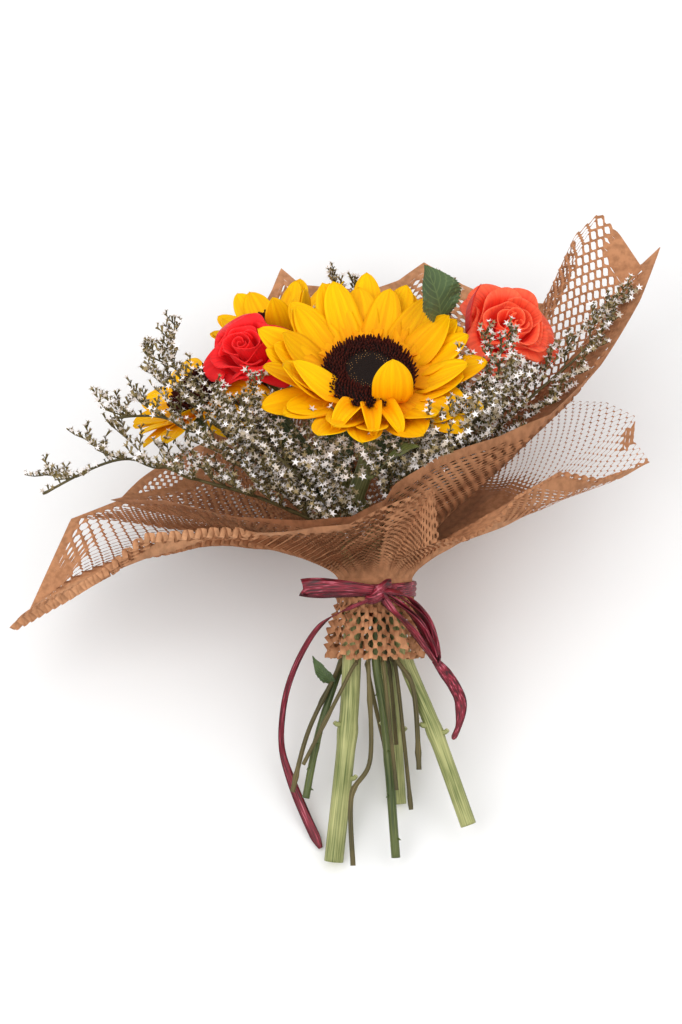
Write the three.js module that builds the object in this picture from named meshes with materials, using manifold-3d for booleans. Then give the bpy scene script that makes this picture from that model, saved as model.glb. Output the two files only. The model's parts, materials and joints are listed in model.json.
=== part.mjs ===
// A mixed bouquet laid on its back: three sunflowers, two roses and white statice in two nested
// collars of expanded honeycomb kraft paper, bound at the stems with a raffia ribbon.
//
// Everything is set out in the bouquet's own frame, with the tie at the origin:
//   u  to the right across the bouquet,
//   v  out of its front face,
//   w  along the stems, from the tie toward the flowers.
// place() lays that frame down on the ground: the front face looks up, the axis rises a little.
import * as THREE from "three";
import Module from "manifold-3d";

const wasm = await Module();
wasm.setup();

// ---------------------------------------------------------------- driving dimensions (mm, degrees)
const TILT = 22; // rise of the bouquet's axis from the ground
const TIE_HEIGHT = 70; // height of the tie above the ground
const GAP = 0.35; // air left between neighbouring pieces
const SIMPLER = 0.09; // edges closer than this to a straight run are merged
const SHIFT = [19.14, -39.24]; // moves the footprint's middle to the origin

const PAPER = 1.0; // thickness of the paper
const NECK = 8; // half height of the gathered neck under the tie
const BRACTS = 7; // green bracts behind each sunflower
const NECK_INNER = 22.6; // radius of the inner sheet at the neck
const NECK_OUTER = 24.15; // radius of the outer sheet at the neck
const CUFF = 44; // reach of the outer sheet below the tie
const CUFF_FLARE = 5.5; // how far the cuff opens at its end
const SOFT = 12; // how gently the paper bends where it meets the ground

const SUNFLOWERS = {
  front: {
    at: [-4, 45, 136], face: [0.03, 0.77, 0.64], disc: 29.5, ray: 45, wide: 19, rays: [16, 14],
    lift: [6, 16], curl: [14, 72],
  },
  back: {
    at: [-66, -34, 168], face: [-0.25, 0.42, 0.87], disc: 22, ray: 38, wide: 17, rays: [10, 9],
    lift: [10, 16], curl: [20, 30],
  },
  left: {
    at: [-112, 0, 127], face: [-0.6, 0.42, 0.68], disc: 22, ray: 36, wide: 16, rays: [10, 9],
    lift: [8, 16], curl: [16, 30],
  },
};
const ROSES = {
  left: { at: [-80, 12, 154], face: [-0.2, 0.78, 0.59], size: 26, turn: 20 },
  right: { at: [85, 10, 169], face: [0.22, 0.84, 0.5], size: 28, turn: 65 },
};

// ---------------------------------------------------------------- small vector helpers
const add = (a, b, k = 1) => [a[0] + b[0] * k, a[1] + b[1] * k, a[2] + b[2] * k];
const mul = (a, k) => [a[0] * k, a[1] * k, a[2] * k];
const dot = (a, b) => a[0] * b[0] + a[1] * b[1] + a[2] * b[2];
const cross = (a, b) => [
  a[1] * b[2] - a[2] * b[1],
  a[2] * b[0] - a[0] * b[2],
  a[0] * b[1] - a[1] * b[0],
];
const unit = (a) => mul(a, 1 / (Math.hypot(...a) || 1));
const mix = (a, b, t) => add(mul(a, 1 - t), b, t);
const rad = (d) => (d * Math.PI) / 180;
const clamp = (x, a, b) => Math.min(b, Math.max(a, x));
const smooth = (a, b, x) => {
  const t = clamp((x - a) / (b - a), 0, 1);
  return t * t * (3 - 2 * t);
};
// The same number between 0 and 1 for the same pair, whichever the machine.
const draw = (i, j = 0) => {
  const x = Math.sin(i * 12.9898 + j * 78.233 + 3.7) * 43758.5453;
  return x - Math.floor(x);
};

const COS = Math.cos(rad(TILT));
const SIN = Math.sin(rad(TILT));
const place = ([u, v, w]) => [
  u + SHIFT[0],
  w * COS - v * SIN + SHIFT[1],
  w * SIN + v * COS + TIE_HEIGHT,
];

// A smooth curve through the points, t from 0 to 1.
function spline(points, t) {
  const n = points.length - 1;
  const i = Math.min(Math.floor(t * n), n - 1);
  const f = t * n - i;
  const p = [points[Math.max(i - 1, 0)], points[i], points[i + 1], points[Math.min(i + 2, n)]];
  return [0, 1, 2].map((k) => {
    const [a, b, c, d] = p.map((q) => q[k]);
    return 0.5 * (2 * b + (c - a) * f + (2 * a - 5 * b + 4 * c - d) * f * f +
      (3 * b - a - 3 * c + d) * f * f * f);
  });
}

// ---------------------------------------------------------------- closed bodies
function body(verts, tris) {
  const p = verts.map(place);
  let volume = 0;
  for (const [a, b, c] of tris) volume += dot(p[a], cross(p[b], p[c]));
  const turned = volume < 0 ? tris.map(([a, b, c]) => [a, c, b]) : tris;
  return new wasm.Manifold(new wasm.Mesh({
    numProp: 3,
    vertProperties: Float32Array.from(p.flat()),
    triVerts: Uint32Array.from(turned.flat()),
  }));
}
const join = (bodies) => (bodies.length > 1 ? wasm.Manifold.union(bodies) : bodies[0]);

// Rings of points along a curve; size(t) is their radius, wobble(t, side) a factor on it.
function ringsAlong(curve, size, sides, steps, wobble = () => 1) {
  const rings = [];
  let across = null;
  for (let i = 0; i <= steps; i++) {
    const t = i / steps;
    const along = unit(add(curve(Math.min(1, t + 0.01)), curve(Math.max(0, t - 0.01)), -1));
    across ??= unit(cross(along, Math.abs(along[1]) < 0.8 ? [0, 1, 0] : [1, 0, 0]));
    across = unit(add(across, along, -dot(across, along)));
    const other = cross(along, across);
    rings.push(Array.from({ length: sides }, (_, k) => {
      const a = (2 * Math.PI * k) / sides, r = size(t) * wobble(t, k);
      return add(add(curve(t), across, r * Math.cos(a)), other, r * Math.sin(a));
    }));
  }
  return rings;
}

// A skin that is grown ring by ring. A side of it can be left open, and carried on as another ring.
class Skin {
  verts = [];
  tris = [];
  loop(points) {
    return points.map((p) => this.verts.push(p) - 1);
  }
  band(a, b, open = -1) {
    a.forEach((_, k) => {
      const l = (k + 1) % a.length;
      if (k !== open) this.tris.push([a[k], a[l], b[l]], [a[k], b[l], b[k]]);
    });
    const l = (open + 1) % a.length;
    return open < 0 ? null : [a[open], a[l], b[l], b[open]];
  }
  fan(ring, tip) {
    ring.forEach((a, k) => this.tris.push([a, ring[(k + 1) % ring.length], tip]));
  }
  close(ring, flip = false) {
    for (let k = 2; k < ring.length; k++)
      this.tris.push(flip ? [ring[0], ring[k], ring[k - 1]] : [ring[0], ring[k - 1], ring[k]]);
  }
  // Joins two rings of unlike count, both sorted by the angle given beside each.
  zip(a, angleA, b, angleB) {
    let i = 0, j = 0;
    while (i < a.length || j < b.length) {
      const nextA = i < a.length ? angleA[(i + 1) % a.length] + (i + 1 >= a.length ? 2 * Math.PI : 0) : 1e9;
      const nextB = j < b.length ? angleB[(j + 1) % b.length] + (j + 1 >= b.length ? 2 * Math.PI : 0) : 1e9;
      const [p, q] = [a[i % a.length], b[j % b.length]];
      if (nextA < nextB) {
        this.tris.push([p, a[(i + 1) % a.length], q]);
        i++;
      } else {
        this.tris.push([p, b[(j + 1) % b.length], q]);
        j++;
      }
    }
  }
  get solid() {
    return body(this.verts, this.tris);
  }
}

function rod(curve, size, sides = 6, steps = 6, wobble = () => 1) {
  const skin = new Skin();
  const rings = ringsAlong(curve, size, sides, steps, wobble).map((r) => skin.loop(r));
  skin.close(rings[0], true);
  for (let i = 0; i < steps; i++) skin.band(rings[i], rings[i + 1]);
  skin.close(rings[steps]);
  return skin.solid;
}

// A thin blade, thickest inside and closed at its edge: at(s, x) runs s from root to tip, x from -1 to 1.
function blade(at, long, wide, thick, pointed = true) {
  const verts = [], upper = [], lower = [];
  for (let i = 0; i <= long; i++)
    for (let j = 0; j <= wide; j++) {
      const k = i * (wide + 1) + j;
      const s = i / long, x = (2 * j) / wide - 1;
      const edge = i === 0 || i === long || j === 0 || j === wide;
      if (i === long && pointed && j > 0) {
        upper[k] = lower[k] = upper[i * (wide + 1)];
        continue;
      }
      const p = at(s, x);
      if (edge) {
        upper[k] = lower[k] = verts.push(p) - 1;
        continue;
      }
      const du = add(at(s + 0.02, x), at(s - 0.02, x), -1);
      const dx = add(at(s, x + 0.05), at(s, x - 0.05), -1);
      const normal = unit(cross(du, dx));
      upper[k] = verts.push(add(p, normal, thick / 2)) - 1;
      lower[k] = verts.push(add(p, normal, -thick / 2)) - 1;
    }
  const tris = [];
  const face = (a, b, c) => {
    if (a === b || b === c || a === c) return;
    tris.push([upper[a], upper[b], upper[c]]);
    tris.push([lower[a], lower[c], lower[b]]);
  };
  for (let i = 0; i < long; i++)
    for (let j = 0; j < wide; j++) {
      const a = i * (wide + 1) + j, b = a + 1, c = a + wide + 1, d = c + 1;
      const near = (i < long / 2) === (j < wide / 2);
      if (near) { face(a, b, d); face(a, d, c); } else { face(a, b, c); face(b, d, c); }
    }
  const kept = tris.filter(([a, b, c]) => a !== b && b !== c && a !== c);
  return body(verts, kept);
}

// A turned body: profile is a list of [radius, height] that starts and ends on the axis.
function turned(frame, profile, sides, relief = () => 0) {
  const verts = [], tris = [], rings = [];
  profile.forEach(([r, z], i) => {
    if (r === 0) {
      rings.push([verts.push(frame(0, 0, z)) - 1]);
      return;
    }
    rings.push(Array.from({ length: sides }, (_, k) => {
      const a = (2 * Math.PI * k) / sides;
      return verts.push(frame(a, r, z + relief(i, k))) - 1;
    }));
  });
  for (let i = 0; i + 1 < rings.length; i++)
    for (let k = 0; k < sides; k++) {
      const [p, q] = [rings[i], rings[i + 1]];
      const a = p[k % p.length], b = p[(k + 1) % p.length];
      const c = q[k % q.length], d = q[(k + 1) % q.length];
      if (a !== b) tris.push([a, b, d]);
      if (c !== d) tris.push([a, d, c]);
    }
  return body(verts, tris);
}

// Cylinder coordinates about a head's middle: angle 0 points right, 90 toward the head's upper edge.
function headFrame({ at, face }) {
  const n = unit(face);
  const right = unit(add([1, 0, 0], n, -n[0]));
  let up = unit(cross(n, right));
  if (up[2] < 0) up = mul(up, -1);
  const frame = (a, r, z) =>
    add(add(add(at, right, r * Math.cos(a)), up, r * Math.sin(a)), n, z);
  return { frame, n, right, up };
}

// ---------------------------------------------------------------- the pieces, and the room they leave
const nodes = [];
let making = ""; // the piece being made, which may touch its own reserved stem
const boxOf = (m) => m.boundingBox();
const apart = (a, b, g) => [0, 1, 2].some((k) => a.min[k] > b.max[k] + g || b.min[k] > a.max[k] + g);
function blockers(solid, gap = GAP) {
  const box = boxOf(solid);
  return nodes.filter((n) => n.name !== making && !apart(box, n.box, gap) &&
    solid.minGap(n.solid, gap * 1.5) < gap).map((n) => n.name);
}
const clear = (solid, gap = GAP) => blockers(solid, gap).length === 0;
function reserve(name, solid) {
  nodes.push({ name, solid, box: boxOf(solid) });
}
function keep(name, solid, look) {
  const cleaned = solid.simplify(SIMPLER);
  const held = nodes.findIndex((n) => n.name === name);
  if (held >= 0) nodes.splice(held, 1);
  nodes.push({ name, solid: cleaned, box: boxOf(cleaned), look });
}

const PAINT = {
  paper: [0xc0906a, 0.92, 0], green: [0x9fa06a, 0.75, 0], dark: [0x4c5330, 0.75, 0],
  yellow: [0xfdb80c, 0.65, 0], disc: [0x3a1c12, 0.95, 0], crimson: [0xcb1526, 0.6, 0],
  coral: [0xe04a38, 0.6, 0], lilac: [0xe6e0ee, 0.85, 0], raffia: [0x8a3140, 0.7, 0],
};

// ---------------------------------------------------------------- stems
// Each goes from its cut end through the neck to its head: points, end radius, head radius.
const STEMS = {
  front: { r: [6.2, 5.6], path: [[-26.5, 1.6, -175], [-17.5, 3.4, -90], [-14.8, 8, -42], [-13.9, 3.3, 0],
    [-16.1, 10.4, 45], [-4.9, 17.7, 84], [-5, 27, 110]] },
  left: { r: [5.2, 4.6], path: [[60, 8, -151], [38, 6.8, -90], [18.5, 1.8, -42], [9.8, 5.4, 0],
    [-8.3, -0.2, 42], [-44.7, -4.8, 76], [-84, -6, 104]] },
  back: { r: [5.4, 4.6], path: [[15, -13.2, -139], [12, -14, -90], [7.6, -11.4, -42], [5, -9.3, 0],
    [-5.4, -19.8, 45], [-28.3, -23.3, 90], [-50, -36, 135]] },
  roseLeft: { r: [2.9, 2.5], path: [[13.5, 7, -172], [7, 10, -90], [0.4, 13.5, -42], [2.4, 14.9, 0],
    [-15.6, 21, 45], [-40.2, 12.5, 86], [-66, 4, 122]] },
  roseRight: { r: [2.4, 2.3], path: [[-44.5, 4, -134], [-35.6, 2.7, -90], [-20.2, -6.3, -42],
    [-11.2, -6.1, 0], [8.2, -6.9, 45], [38.2, -8.2, 92], [68, -8, 134]] },
};

function sunflowerStem(key) {
  const flower = SUNFLOWERS[key];
  const { frame, n } = headFrame(flower);
  const base = add(flower.at, n, -12);
  const path = [...STEMS[key].path, base];
  const [r0, r1] = STEMS[key].r;
  const knots = [0.14, 0.36];
  const stalk = rod((t) => spline(path, t), (t) => {
    const swell = knots.reduce((a, k) => a + 0.12 * Math.exp(-(((t - k) / 0.018) ** 2)), 0);
    return (r0 + (r1 - r0) * t) * (1 + swell);
  }, 8, 18, (t, k) => (k % 2 ? 0.95 : 1.03));
  const R = flower.disc;
  const cup = turned(frame, [[0, -13.5], [5.6, -13.4], [R * 0.66, -8], [R * 0.92, -4.7], [0, -4.7]], 12);
  const bracts = [];
  for (let i = 0; i < BRACTS; i++) {
    const a = rad((360 * (i + 0.5 * draw(i, 4))) / BRACTS);
    const L = R * (0.75 + 0.3 * draw(i, 5)), W = R * 0.2;
    const piece = blade((s, x) => {
      const half = W * Math.max(0, 1 - s ** 1.6);
      const r = R * 0.62 + L * s;
      return frame(a + (x * half) / r, r, -7.6 - 5.5 * s * s + 1.2 * x * x);
    }, 3, 2, 1.4);
    if (clear(piece)) bracts.push(piece);
  }
  const leaves = [];
  if (key === "front") {
    const reach = [[-6, 17, 80], [-4, 40, 72], [3, 66, 76]];
    const petiole = rod((t) => spline(reach, t), (t) => 1.4 - 0.4 * t, 5, 4);
    const green = leaf([2, 63, 75.5], [27, 84, 91], [0, 0.6, 0.8], 19, 7);
    if (clear(petiole) && clear(green)) leaves.push(petiole, green);
  }
  return join([stalk, cup, ...bracts, ...leaves]);
}

// ---------------------------------------------------------------- the paper collars
// Rims as [angle about the axis, distance from it, height, extra crown in the middle of the sheet].
const INNER_RIM = [
  [-167, 135, 67, 0], [-158.5, 123, 78, 0], [-150, 125, 111, 0], [-139.5, 117, 158, 0], [-129, 108, 198, 0],
  [-125, 108, 213, 0], [-119, 101, 202, 0], [-105, 96, 200, 0], [-91, 95, 199, 0], [-80, 96, 205, 0],
  [-70, 98, 217, 0], [-56, 106, 202, 0], [-43, 114, 191, 0], [-29, 129, 188, 0], [-21, 144, 215, 0],
  [-19, 139, 232, 0], [-15, 153, 247, 0], [-10.5, 163, 231, 0], [-7, 174, 211, 0], [-4.5, 186, 223, 0],
  [2, 171, 187, 0], [12.5, 147, 144, 0], [24, 121, 112, 0], [37.5, 99, 98, 0], [59, 79, 86, 0],
  [74, 76, 74, 0], [81.5, 77, 67, 0], [85.5, 75, 58, 0], [102, 75, 48, 0], [124, 85, 45, 0],
  [144, 106, 46.5, 0], [163, 140, 58, 0], [180, 171, 58, 0],
];
const OUTER_RIM = [
  [-178, 224, -14, 50], [-175, 198, 46, 10], [-170, 169, 58, 0], [-162, 162, 71, 0], [-149, 152, 88, 0],
  [-131, 148, 104, -4], [-112, 148, 110, -8], [-89, 150, 112, -8], [-72, 147, 114, -8], [-47, 136, 122, 0],
  [-27, 138, 124, 0], [-13.5, 155, 123, 0], [-6, 170, 113, 0], [-1.7, 167, 97, 0], [5, 177, 82, 0],
  [15, 148, 72, 0], [23, 127, 77, 0], [34, 109, 61, 0], [41, 103, 45, 0], [51, 94, 33, 0],
  [65, 89, 30, 0], [67.5, 92, 64, 0], [80, 87, 58, 0], [101, 86, 43, 0], [121, 93, 40, 0],
  [139, 109, 39, 0], [151, 127, 37, 0], [161.5, 157, 33, 10], [167, 180, 8, 30], [172, 200, -6, 40],
  [179, 234, -26, 60],
];
const COLUMNS = [
  -178, -168, -158.5, -149, -139.5, -129, -125, -119, -105, -91, -80, -70, -56, -43, -29, -21, -15,
  -7, -4.5, 2, 14, 24, 34, 45, 59, 65, 67.5, 81.5, 86, 102, 118, 134, 150, 163, 172,
];

function rimAt(rim, phi) {
  let i = rim.findIndex((r) => r[0] > phi);
  const turn = (k, d) => [rim[k][0] + d, ...rim[k].slice(1)];
  const a = i === 0 ? turn(rim.length - 1, -360) : i < 0 ? rim[rim.length - 1] : rim[i - 1];
  const b = i < 0 ? turn(0, 360) : rim[i];
  const f = (phi - a[0]) / (b[0] - a[0]);
  return [1, 2, 3].map((k) => a[k] + (b[k] - a[k]) * f);
}
const bend = (p, t) => {
  const q = 1 - t;
  return [0, 1].map((k) =>
    q * q * q * p[0][k] + 3 * q * q * t * p[1][k] + 3 * q * t * t * p[2][k] + t * t * t * p[3][k]);
};

// s runs from -1 (end of the cuff) over 0 (the neck) to 1 (the rim).
function paperAt(outer, phi, s) {
  const [a, b, crown] = rimAt(outer ? OUTER_RIM : INNER_RIM, phi);
  const r0 = outer ? NECK_OUTER : NECK_INNER;
  let r, w;
  if (s <= 0) {
    const t = -s;
    const reach = outer ? CUFF : 14;
    r = r0 + (outer ? CUFF_FLARE * Math.max(0, t - 0.3) * (1.4 + 0.3 * Math.sin(rad(phi * 7))) : 0);
    w = NECK - t * (reach + NECK);
  } else {
    const mid = outer
      ? [[r0 + 6, 16 + Math.max(0, b) * 0.15 + 0.2 * crown], [0.62 * a, 0.42 * b + 14 + crown]]
      : [[r0 + 3, 22 + b * 0.12], [0.6 * a + 10, 0.55 * b + 10]];
    [r, w] = bend([[r0, NECK], ...mid, [a, b]], s);
  }
  const u = r * Math.cos(rad(phi)), v = r * Math.sin(rad(phi));
  return toGround([u, v, w], outer ? 0 : 3.2);
}

// The paper gives way to the ground, with a flat where it rests.
function toGround([u, v, w], above) {
  const ground = -(TIE_HEIGHT + w * SIN) / COS + (PAPER / 2 + above) / COS;
  const x = v - ground;
  const y = x < -SOFT ? 0 : x > SOFT ? x : (x + SOFT) ** 2 / (4 * SOFT);
  return [u, ground + y, w];
}

function collar(outer, rows, openAt) {
  const cols = COLUMNS.length;
  const at = (phi, s) => paperAt(outer, phi, s);
  const verts = [], tris = [], front = [], rear = [];
  rows.forEach((s, i) => {
    COLUMNS.forEach((phi, j) => {
      const p = at(phi, s);
      const dp = add(at(phi + 0.5, s), at(phi - 0.5, s), -1);
      const ds = add(at(phi, Math.min(1, s + 0.02)), at(phi, s - 0.02), -1);
      const normal = unit(cross(dp, ds));
      const flat = p[2] * SIN + p[1] * COS + TIE_HEIGHT < PAPER / 2 + 0.05 && outer;
      const out = flat ? [0, -COS, -SIN] : normal;
      front.push(verts.push(add(p, out, PAPER / 2)) - 1);
      rear.push(verts.push(add(p, out, -PAPER / 2)) - 1);
    });
  });
  const at2 = (i, j) => i * cols + (j % cols);
  const quad = (a, b, c, d) => tris.push([a, b, c], [a, c, d]);
  for (let i = 0; i + 1 < rows.length; i++)
    for (let j = 0; j < cols; j++) {
      const ids = [at2(i, j), at2(i, j + 1), at2(i + 1, j + 1), at2(i + 1, j)];
      if (!openAt((COLUMNS[j] + 360) % 360, rows[i])) {
        quad(...ids.map((k) => front[k]));
        quad(...ids.map((k) => rear[k]).reverse());
        continue;
      }
      // an opened cell: a diamond hole inside this quad
      const inset = [front, rear].map((f) => {
        const q = ids.map((k) => verts[f[k]]);
        const mid = mul(q.reduce((s, p) => add(s, p), [0, 0, 0]), 0.25);
        return q.map((p, k) => verts.push(mix(mix(p, q[(k + 1) % 4], 0.5), mid, 0.3)) - 1);
      });
      [front, rear].forEach((f, side) => {
        const n = inset[side];
        for (let k = 0; k < 4; k++) {
          const a = f[ids[k]], b = f[ids[(k + 1) % 4]], m = n[k], l = n[(k + 3) % 4];
          const two = [[a, b, m], [a, m, l]];
          two.forEach(([x, y, z]) => tris.push(side ? [x, z, y] : [x, y, z]));
        }
      });
      for (let k = 0; k < 4; k++) {
        const l = (k + 3) % 4;
        quad(inset[0][k], inset[1][k], inset[1][l], inset[0][l]);
      }
    }
  const last = rows.length - 1;
  for (let j = 0; j < cols; j++) {
    quad(front[at2(0, j + 1)], front[at2(0, j)], rear[at2(0, j)], rear[at2(0, j + 1)]);
    quad(front[at2(last, j)], front[at2(last, j + 1)], rear[at2(last, j + 1)], rear[at2(last, j)]);
  }
  return body(verts, tris);
}

// ---------------------------------------------------------------- flower heads
// One ray petal: it leaves the disc's edge, lifts, and curls up toward the face.
function ray(frame, a, R, L, W, lift, curl, twist, z0) {
  const steps = 24;
  const line = [[R - 4.5, z0]];
  for (let i = 0; i < steps; i++) {
    const t = (i + 0.5) / steps;
    const e = rad(lift * smooth(0, 0.2, t) + curl * t ** 1.3);
    const [r, z] = line[i];
    line.push([r + (Math.cos(e) * L) / steps, z + (Math.sin(e) * L) / steps]);
  }
  return blade((s, x) => {
    const k = clamp(s, 0, 1) * steps, i = Math.min(Math.floor(k), steps - 1), f = k - i;
    const e = rad(lift * smooth(0, 0.2, s) + curl * clamp(s, 0, 1) ** 1.3);
    const r = line[i][0] + (line[i + 1][0] - line[i][0]) * f;
    const z = line[i][1] + (line[i + 1][1] - line[i][1]) * f;
    const half = (W / 2) * Math.min(0.42 + 2.2 * s, 1) * Math.sqrt(Math.max(0, 1 - s ** 3.2));
    const cup = 0.16 * half * x * x + half * x * twist * s;
    const p = frame(a, r - Math.sin(e) * cup, z + Math.cos(e) * cup);
    const side = add(frame(a + 0.01, r, z), frame(a - 0.01, r, z), -1);
    return add(p, unit(side), x * half);
  }, 4, 2, 1.5);
}

function sunflower(key) {
  const flower = SUNFLOWERS[key];
  const { frame } = headFrame(flower);
  const R = flower.disc, seed = flower.rays[0] * 3 + R;
  const relief = (i, k) => (i > 0 && i < 6 ? 0.9 * ((k + i) % 2) : 0);
  const disc = turned(frame, [
    [0, 5.2], [R * 0.22, 5.9], [R * 0.42, 7.4], [R * 0.6, 7.9], [R * 0.78, 7.0], [R * 0.92, 4.6],
    [R * 0.98, 2.2], [R * 0.9, 0.35], [0, 0.35],
  ], key === "front" ? 22 : 12, relief);
  keep("disc_" + key, disc, "disc");

  const ring = turned(frame, [[0, -4.3], [R * 0.9, -4.3], [R * 0.95, -2.4], [R * 0.86, 0], [0, 0]], 14);
  const petals = [];
  flower.rays.forEach((count, layer) => {
    for (let i = 0; i < count; i++) {
      const id = seed + layer * 40 + i;
      const a = (2 * Math.PI * (i + 0.5 * layer + 0.5 * (draw(id, 1) - 0.5))) / count;
      const low = smooth(-0.15, -0.95, Math.sin(a)); // petals on the lower side stand up
      const up = smooth(0.3, 1, Math.sin(a));
      const L = flower.ray * (0.9 + 0.2 * draw(id, 2)) * (1 - 0.12 * low) * (layer ? 0.94 : 1.04);
      const W = flower.wide * (0.86 + 0.28 * draw(id, 3));
      const [l0, l1] = flower.lift;
      const lift = l0 + layer * 9 + (l1 - l0) * (1 - up) + 16 * low * layer;
      let curl = flower.curl[0] + (flower.curl[1] - flower.curl[0]) * low * (0.55 + 0.75 * draw(id, 4));
      curl += 16 * (draw(id, 5) - 0.5);
      const twist = 0.5 * (draw(id, 6) - 0.5);
      // a petal that meets a neighbour gives way, and is left out when it finds no room
      for (const [dl, dc, k] of [[0, 0, 1], [10, 6, 1], [22, 12, 0.95], [36, 10, 0.9], [-8, -10, 0.95],
        [48, 20, 0.85], [10, 0, 0.7], [60, 0, 0.75]]) {
        const z0 = -0.9 - 1.1 * (i % 2) - (layer ? 0 : 2);
        const piece = ray(frame, a, R, L * k, W, lift + dl, curl + dc, twist, z0);
        if (!clear(piece)) continue;
        petals.push(piece);
        break;
      }
    }
  });
  keep("rays_" + key, join([ring, ...petals]), "yellow");
}

const roseCore = (rose) => {
  const R = rose.size, base = -0.82 * R;
  return turned(headFrame(rose).frame, [[0, base], [R * 0.24, base + 0.4], [R * 0.34, base + 5],
    [R * 0.26, base + 13], [0, 0.34 * R]], 7);
};

function bloom(key) {
  making = "rose_" + key;
  const rose = ROSES[key];
  const { frame } = headFrame(rose);
  const R = rose.size;
  const base = -0.82 * R;
  const pieces = [roseCore(rose)];
  // count, radius, top, roll of the lip, half span
  const layers = [
    [5, 1.0, 0.26, 0.3, 44], [4, 0.8, 0.44, 0.22, 50], [3, 0.58, 0.54, 0.12, 58], [2, 0.34, 0.58, 0.05, 82],
  ];
  layers.forEach(([count, size, top, roll, span], n) => {
    for (let i = 0; i < count; i++) {
      const id = 70 + n * 9 + i + R;
      const a = rad(rose.turn + (360 * i) / count + n * 31 + 10 * (draw(id, 1) - 0.5));
      const H = R * (top + 0.08 * (draw(id, 2) - 0.5)), Q = R * size;
      const piece = blade((s, x) => {
        const open = 0.3 + 0.7 * Math.sqrt(clamp(s, 0, 1));
        const lip = Math.max(0, s - 0.72) / 0.28;
        let r = 3 + (Q - 3) * Math.sin(clamp(s * 1.35, 0, 1) * (Math.PI / 2));
        r += R * roll * lip * lip * 0.6 + R * 0.055 * x - R * 0.06 * x * x;
        const z = base + 3 + (H - base - 3) * s - R * roll * 0.45 * lip ** 2 - R * 0.16 * x * x * s * s;
        return frame(a + x * rad(span) * open, Math.max(r, 1.2), z);
      }, 3, 4, 1.5, false);
      if (clear(piece)) pieces.push(piece);
    }
  });
  keep(making, join(pieces), key === "left" ? "crimson" : "coral");
  making = "";
}

// ---------------------------------------------------------------- leaves with a cut edge
function leaf(root, tip, face, width, teeth = 8) {
  const along = add(tip, root, -1), L = Math.hypot(...along), d = unit(along);
  const side = unit(cross(d, unit(face))), up = unit(cross(side, d));
  const sign = dot(up, face) < 0 ? -1 : 1;
  return blade((s, x) => {
    const tooth = 1 + 0.13 * (Math.round(s * teeth) % 2 ? 1 : -1);
    const half = (width / 2) * Math.sin(Math.PI * clamp(s, 0.04, 1) ** 0.82) * tooth + 0.4;
    const rise = sign * (L * 0.1 * Math.sin(Math.PI * s) + 0.22 * Math.abs(x) * half);
    return add(add(add(root, d, L * s), side, x * half), up, rise);
  }, teeth, 2, 1.4);
}

function roseStem(key) {
  const rose = ROSES[key];
  const which = key === "left" ? "roseLeft" : "roseRight";
  const { frame, n } = headFrame(rose);
  const R = rose.size, hip = -0.82 * R - GAP - 0.05;
  const path = [...STEMS[which].path, add(rose.at, n, hip - 5)];
  const [r0, r1] = STEMS[which].r;
  const pieces = [rod((t) => spline(path, t), (t) => r0 + (r1 - r0) * t, 6, 18)];
  pieces.push(turned(frame, [[0, hip - 8], [3.6, hip - 6.5], [4.6, hip - 3], [3.4, hip], [0, hip]], 8));
  for (let i = 0; i < 5; i++) {
    const a = rad(72 * i + 25);
    const sepal = blade((s, x) => frame(a + (x * 0.5 * (1 - s * s)) / (1 + 2 * s), 2.5 + R * 0.72 * s,
      hip - 1.8 - R * 0.42 * s * s + R * 0.1 * s), 3, 2, 1.3);
    if (clear(sepal)) pieces.push(sepal);
  }
  return { pieces, path };
}

// ---------------------------------------------------------------- statice
// One floret, a five-pointed papery funnel that carries on from a ring of four in the skin.
function starPoints(at, axis, size, turn, p, q) {
  const rim = Array.from({ length: 10 }, (_, k) => {
    const a = turn + (Math.PI * k) / 5, r = size * (k % 2 ? 0.5 : 1);
    const c = add(at, axis, size * (k % 2 ? 1.0 : 1.3));
    return add(add(c, p, r * Math.cos(a)), q, r * Math.sin(a));
  });
  return { rim, heart: add(at, axis, size * 0.7) };
}
function bloomOn(skin, ring, at, axis, size) {
  const n = unit(axis);
  const first = add(skin.verts[ring[0]], at, -1);
  const p = unit(add(first, n, -dot(first, n)));
  let q = cross(n, p);
  if (dot(add(skin.verts[ring[1]], at, -1), q) < 0) q = mul(q, -1);
  const angles = ring.map((v, k) => {
    const d = add(skin.verts[v], at, -1);
    const a = Math.atan2(dot(d, q), dot(d, p));
    return k && a < 0 ? a + 2 * Math.PI : a;
  });
  const { rim, heart } = starPoints(at, n, size, 0, p, q);
  const star = skin.loop(rim);
  skin.zip(ring, angles, star, rim.map((_, k) => (Math.PI * k) / 5));
  skin.fan(star, skin.loop([heart])[0]);
}
// The same floret as a body of its own, to try whether it has room.
function trialFloret(at, axis, size) {
  const n = unit(axis), p = unit(cross(n, Math.abs(n[0]) < 0.8 ? [1, 0, 0] : [0, 1, 0]));
  const skin = new Skin();
  const { rim, heart } = starPoints(at, n, size, 0, p, cross(n, p));
  const star = skin.loop(rim);
  skin.fan(star, skin.loop([heart])[0]);
  skin.fan([...star].reverse(), skin.loop([at])[0]);
  return skin.solid;
}

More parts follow.
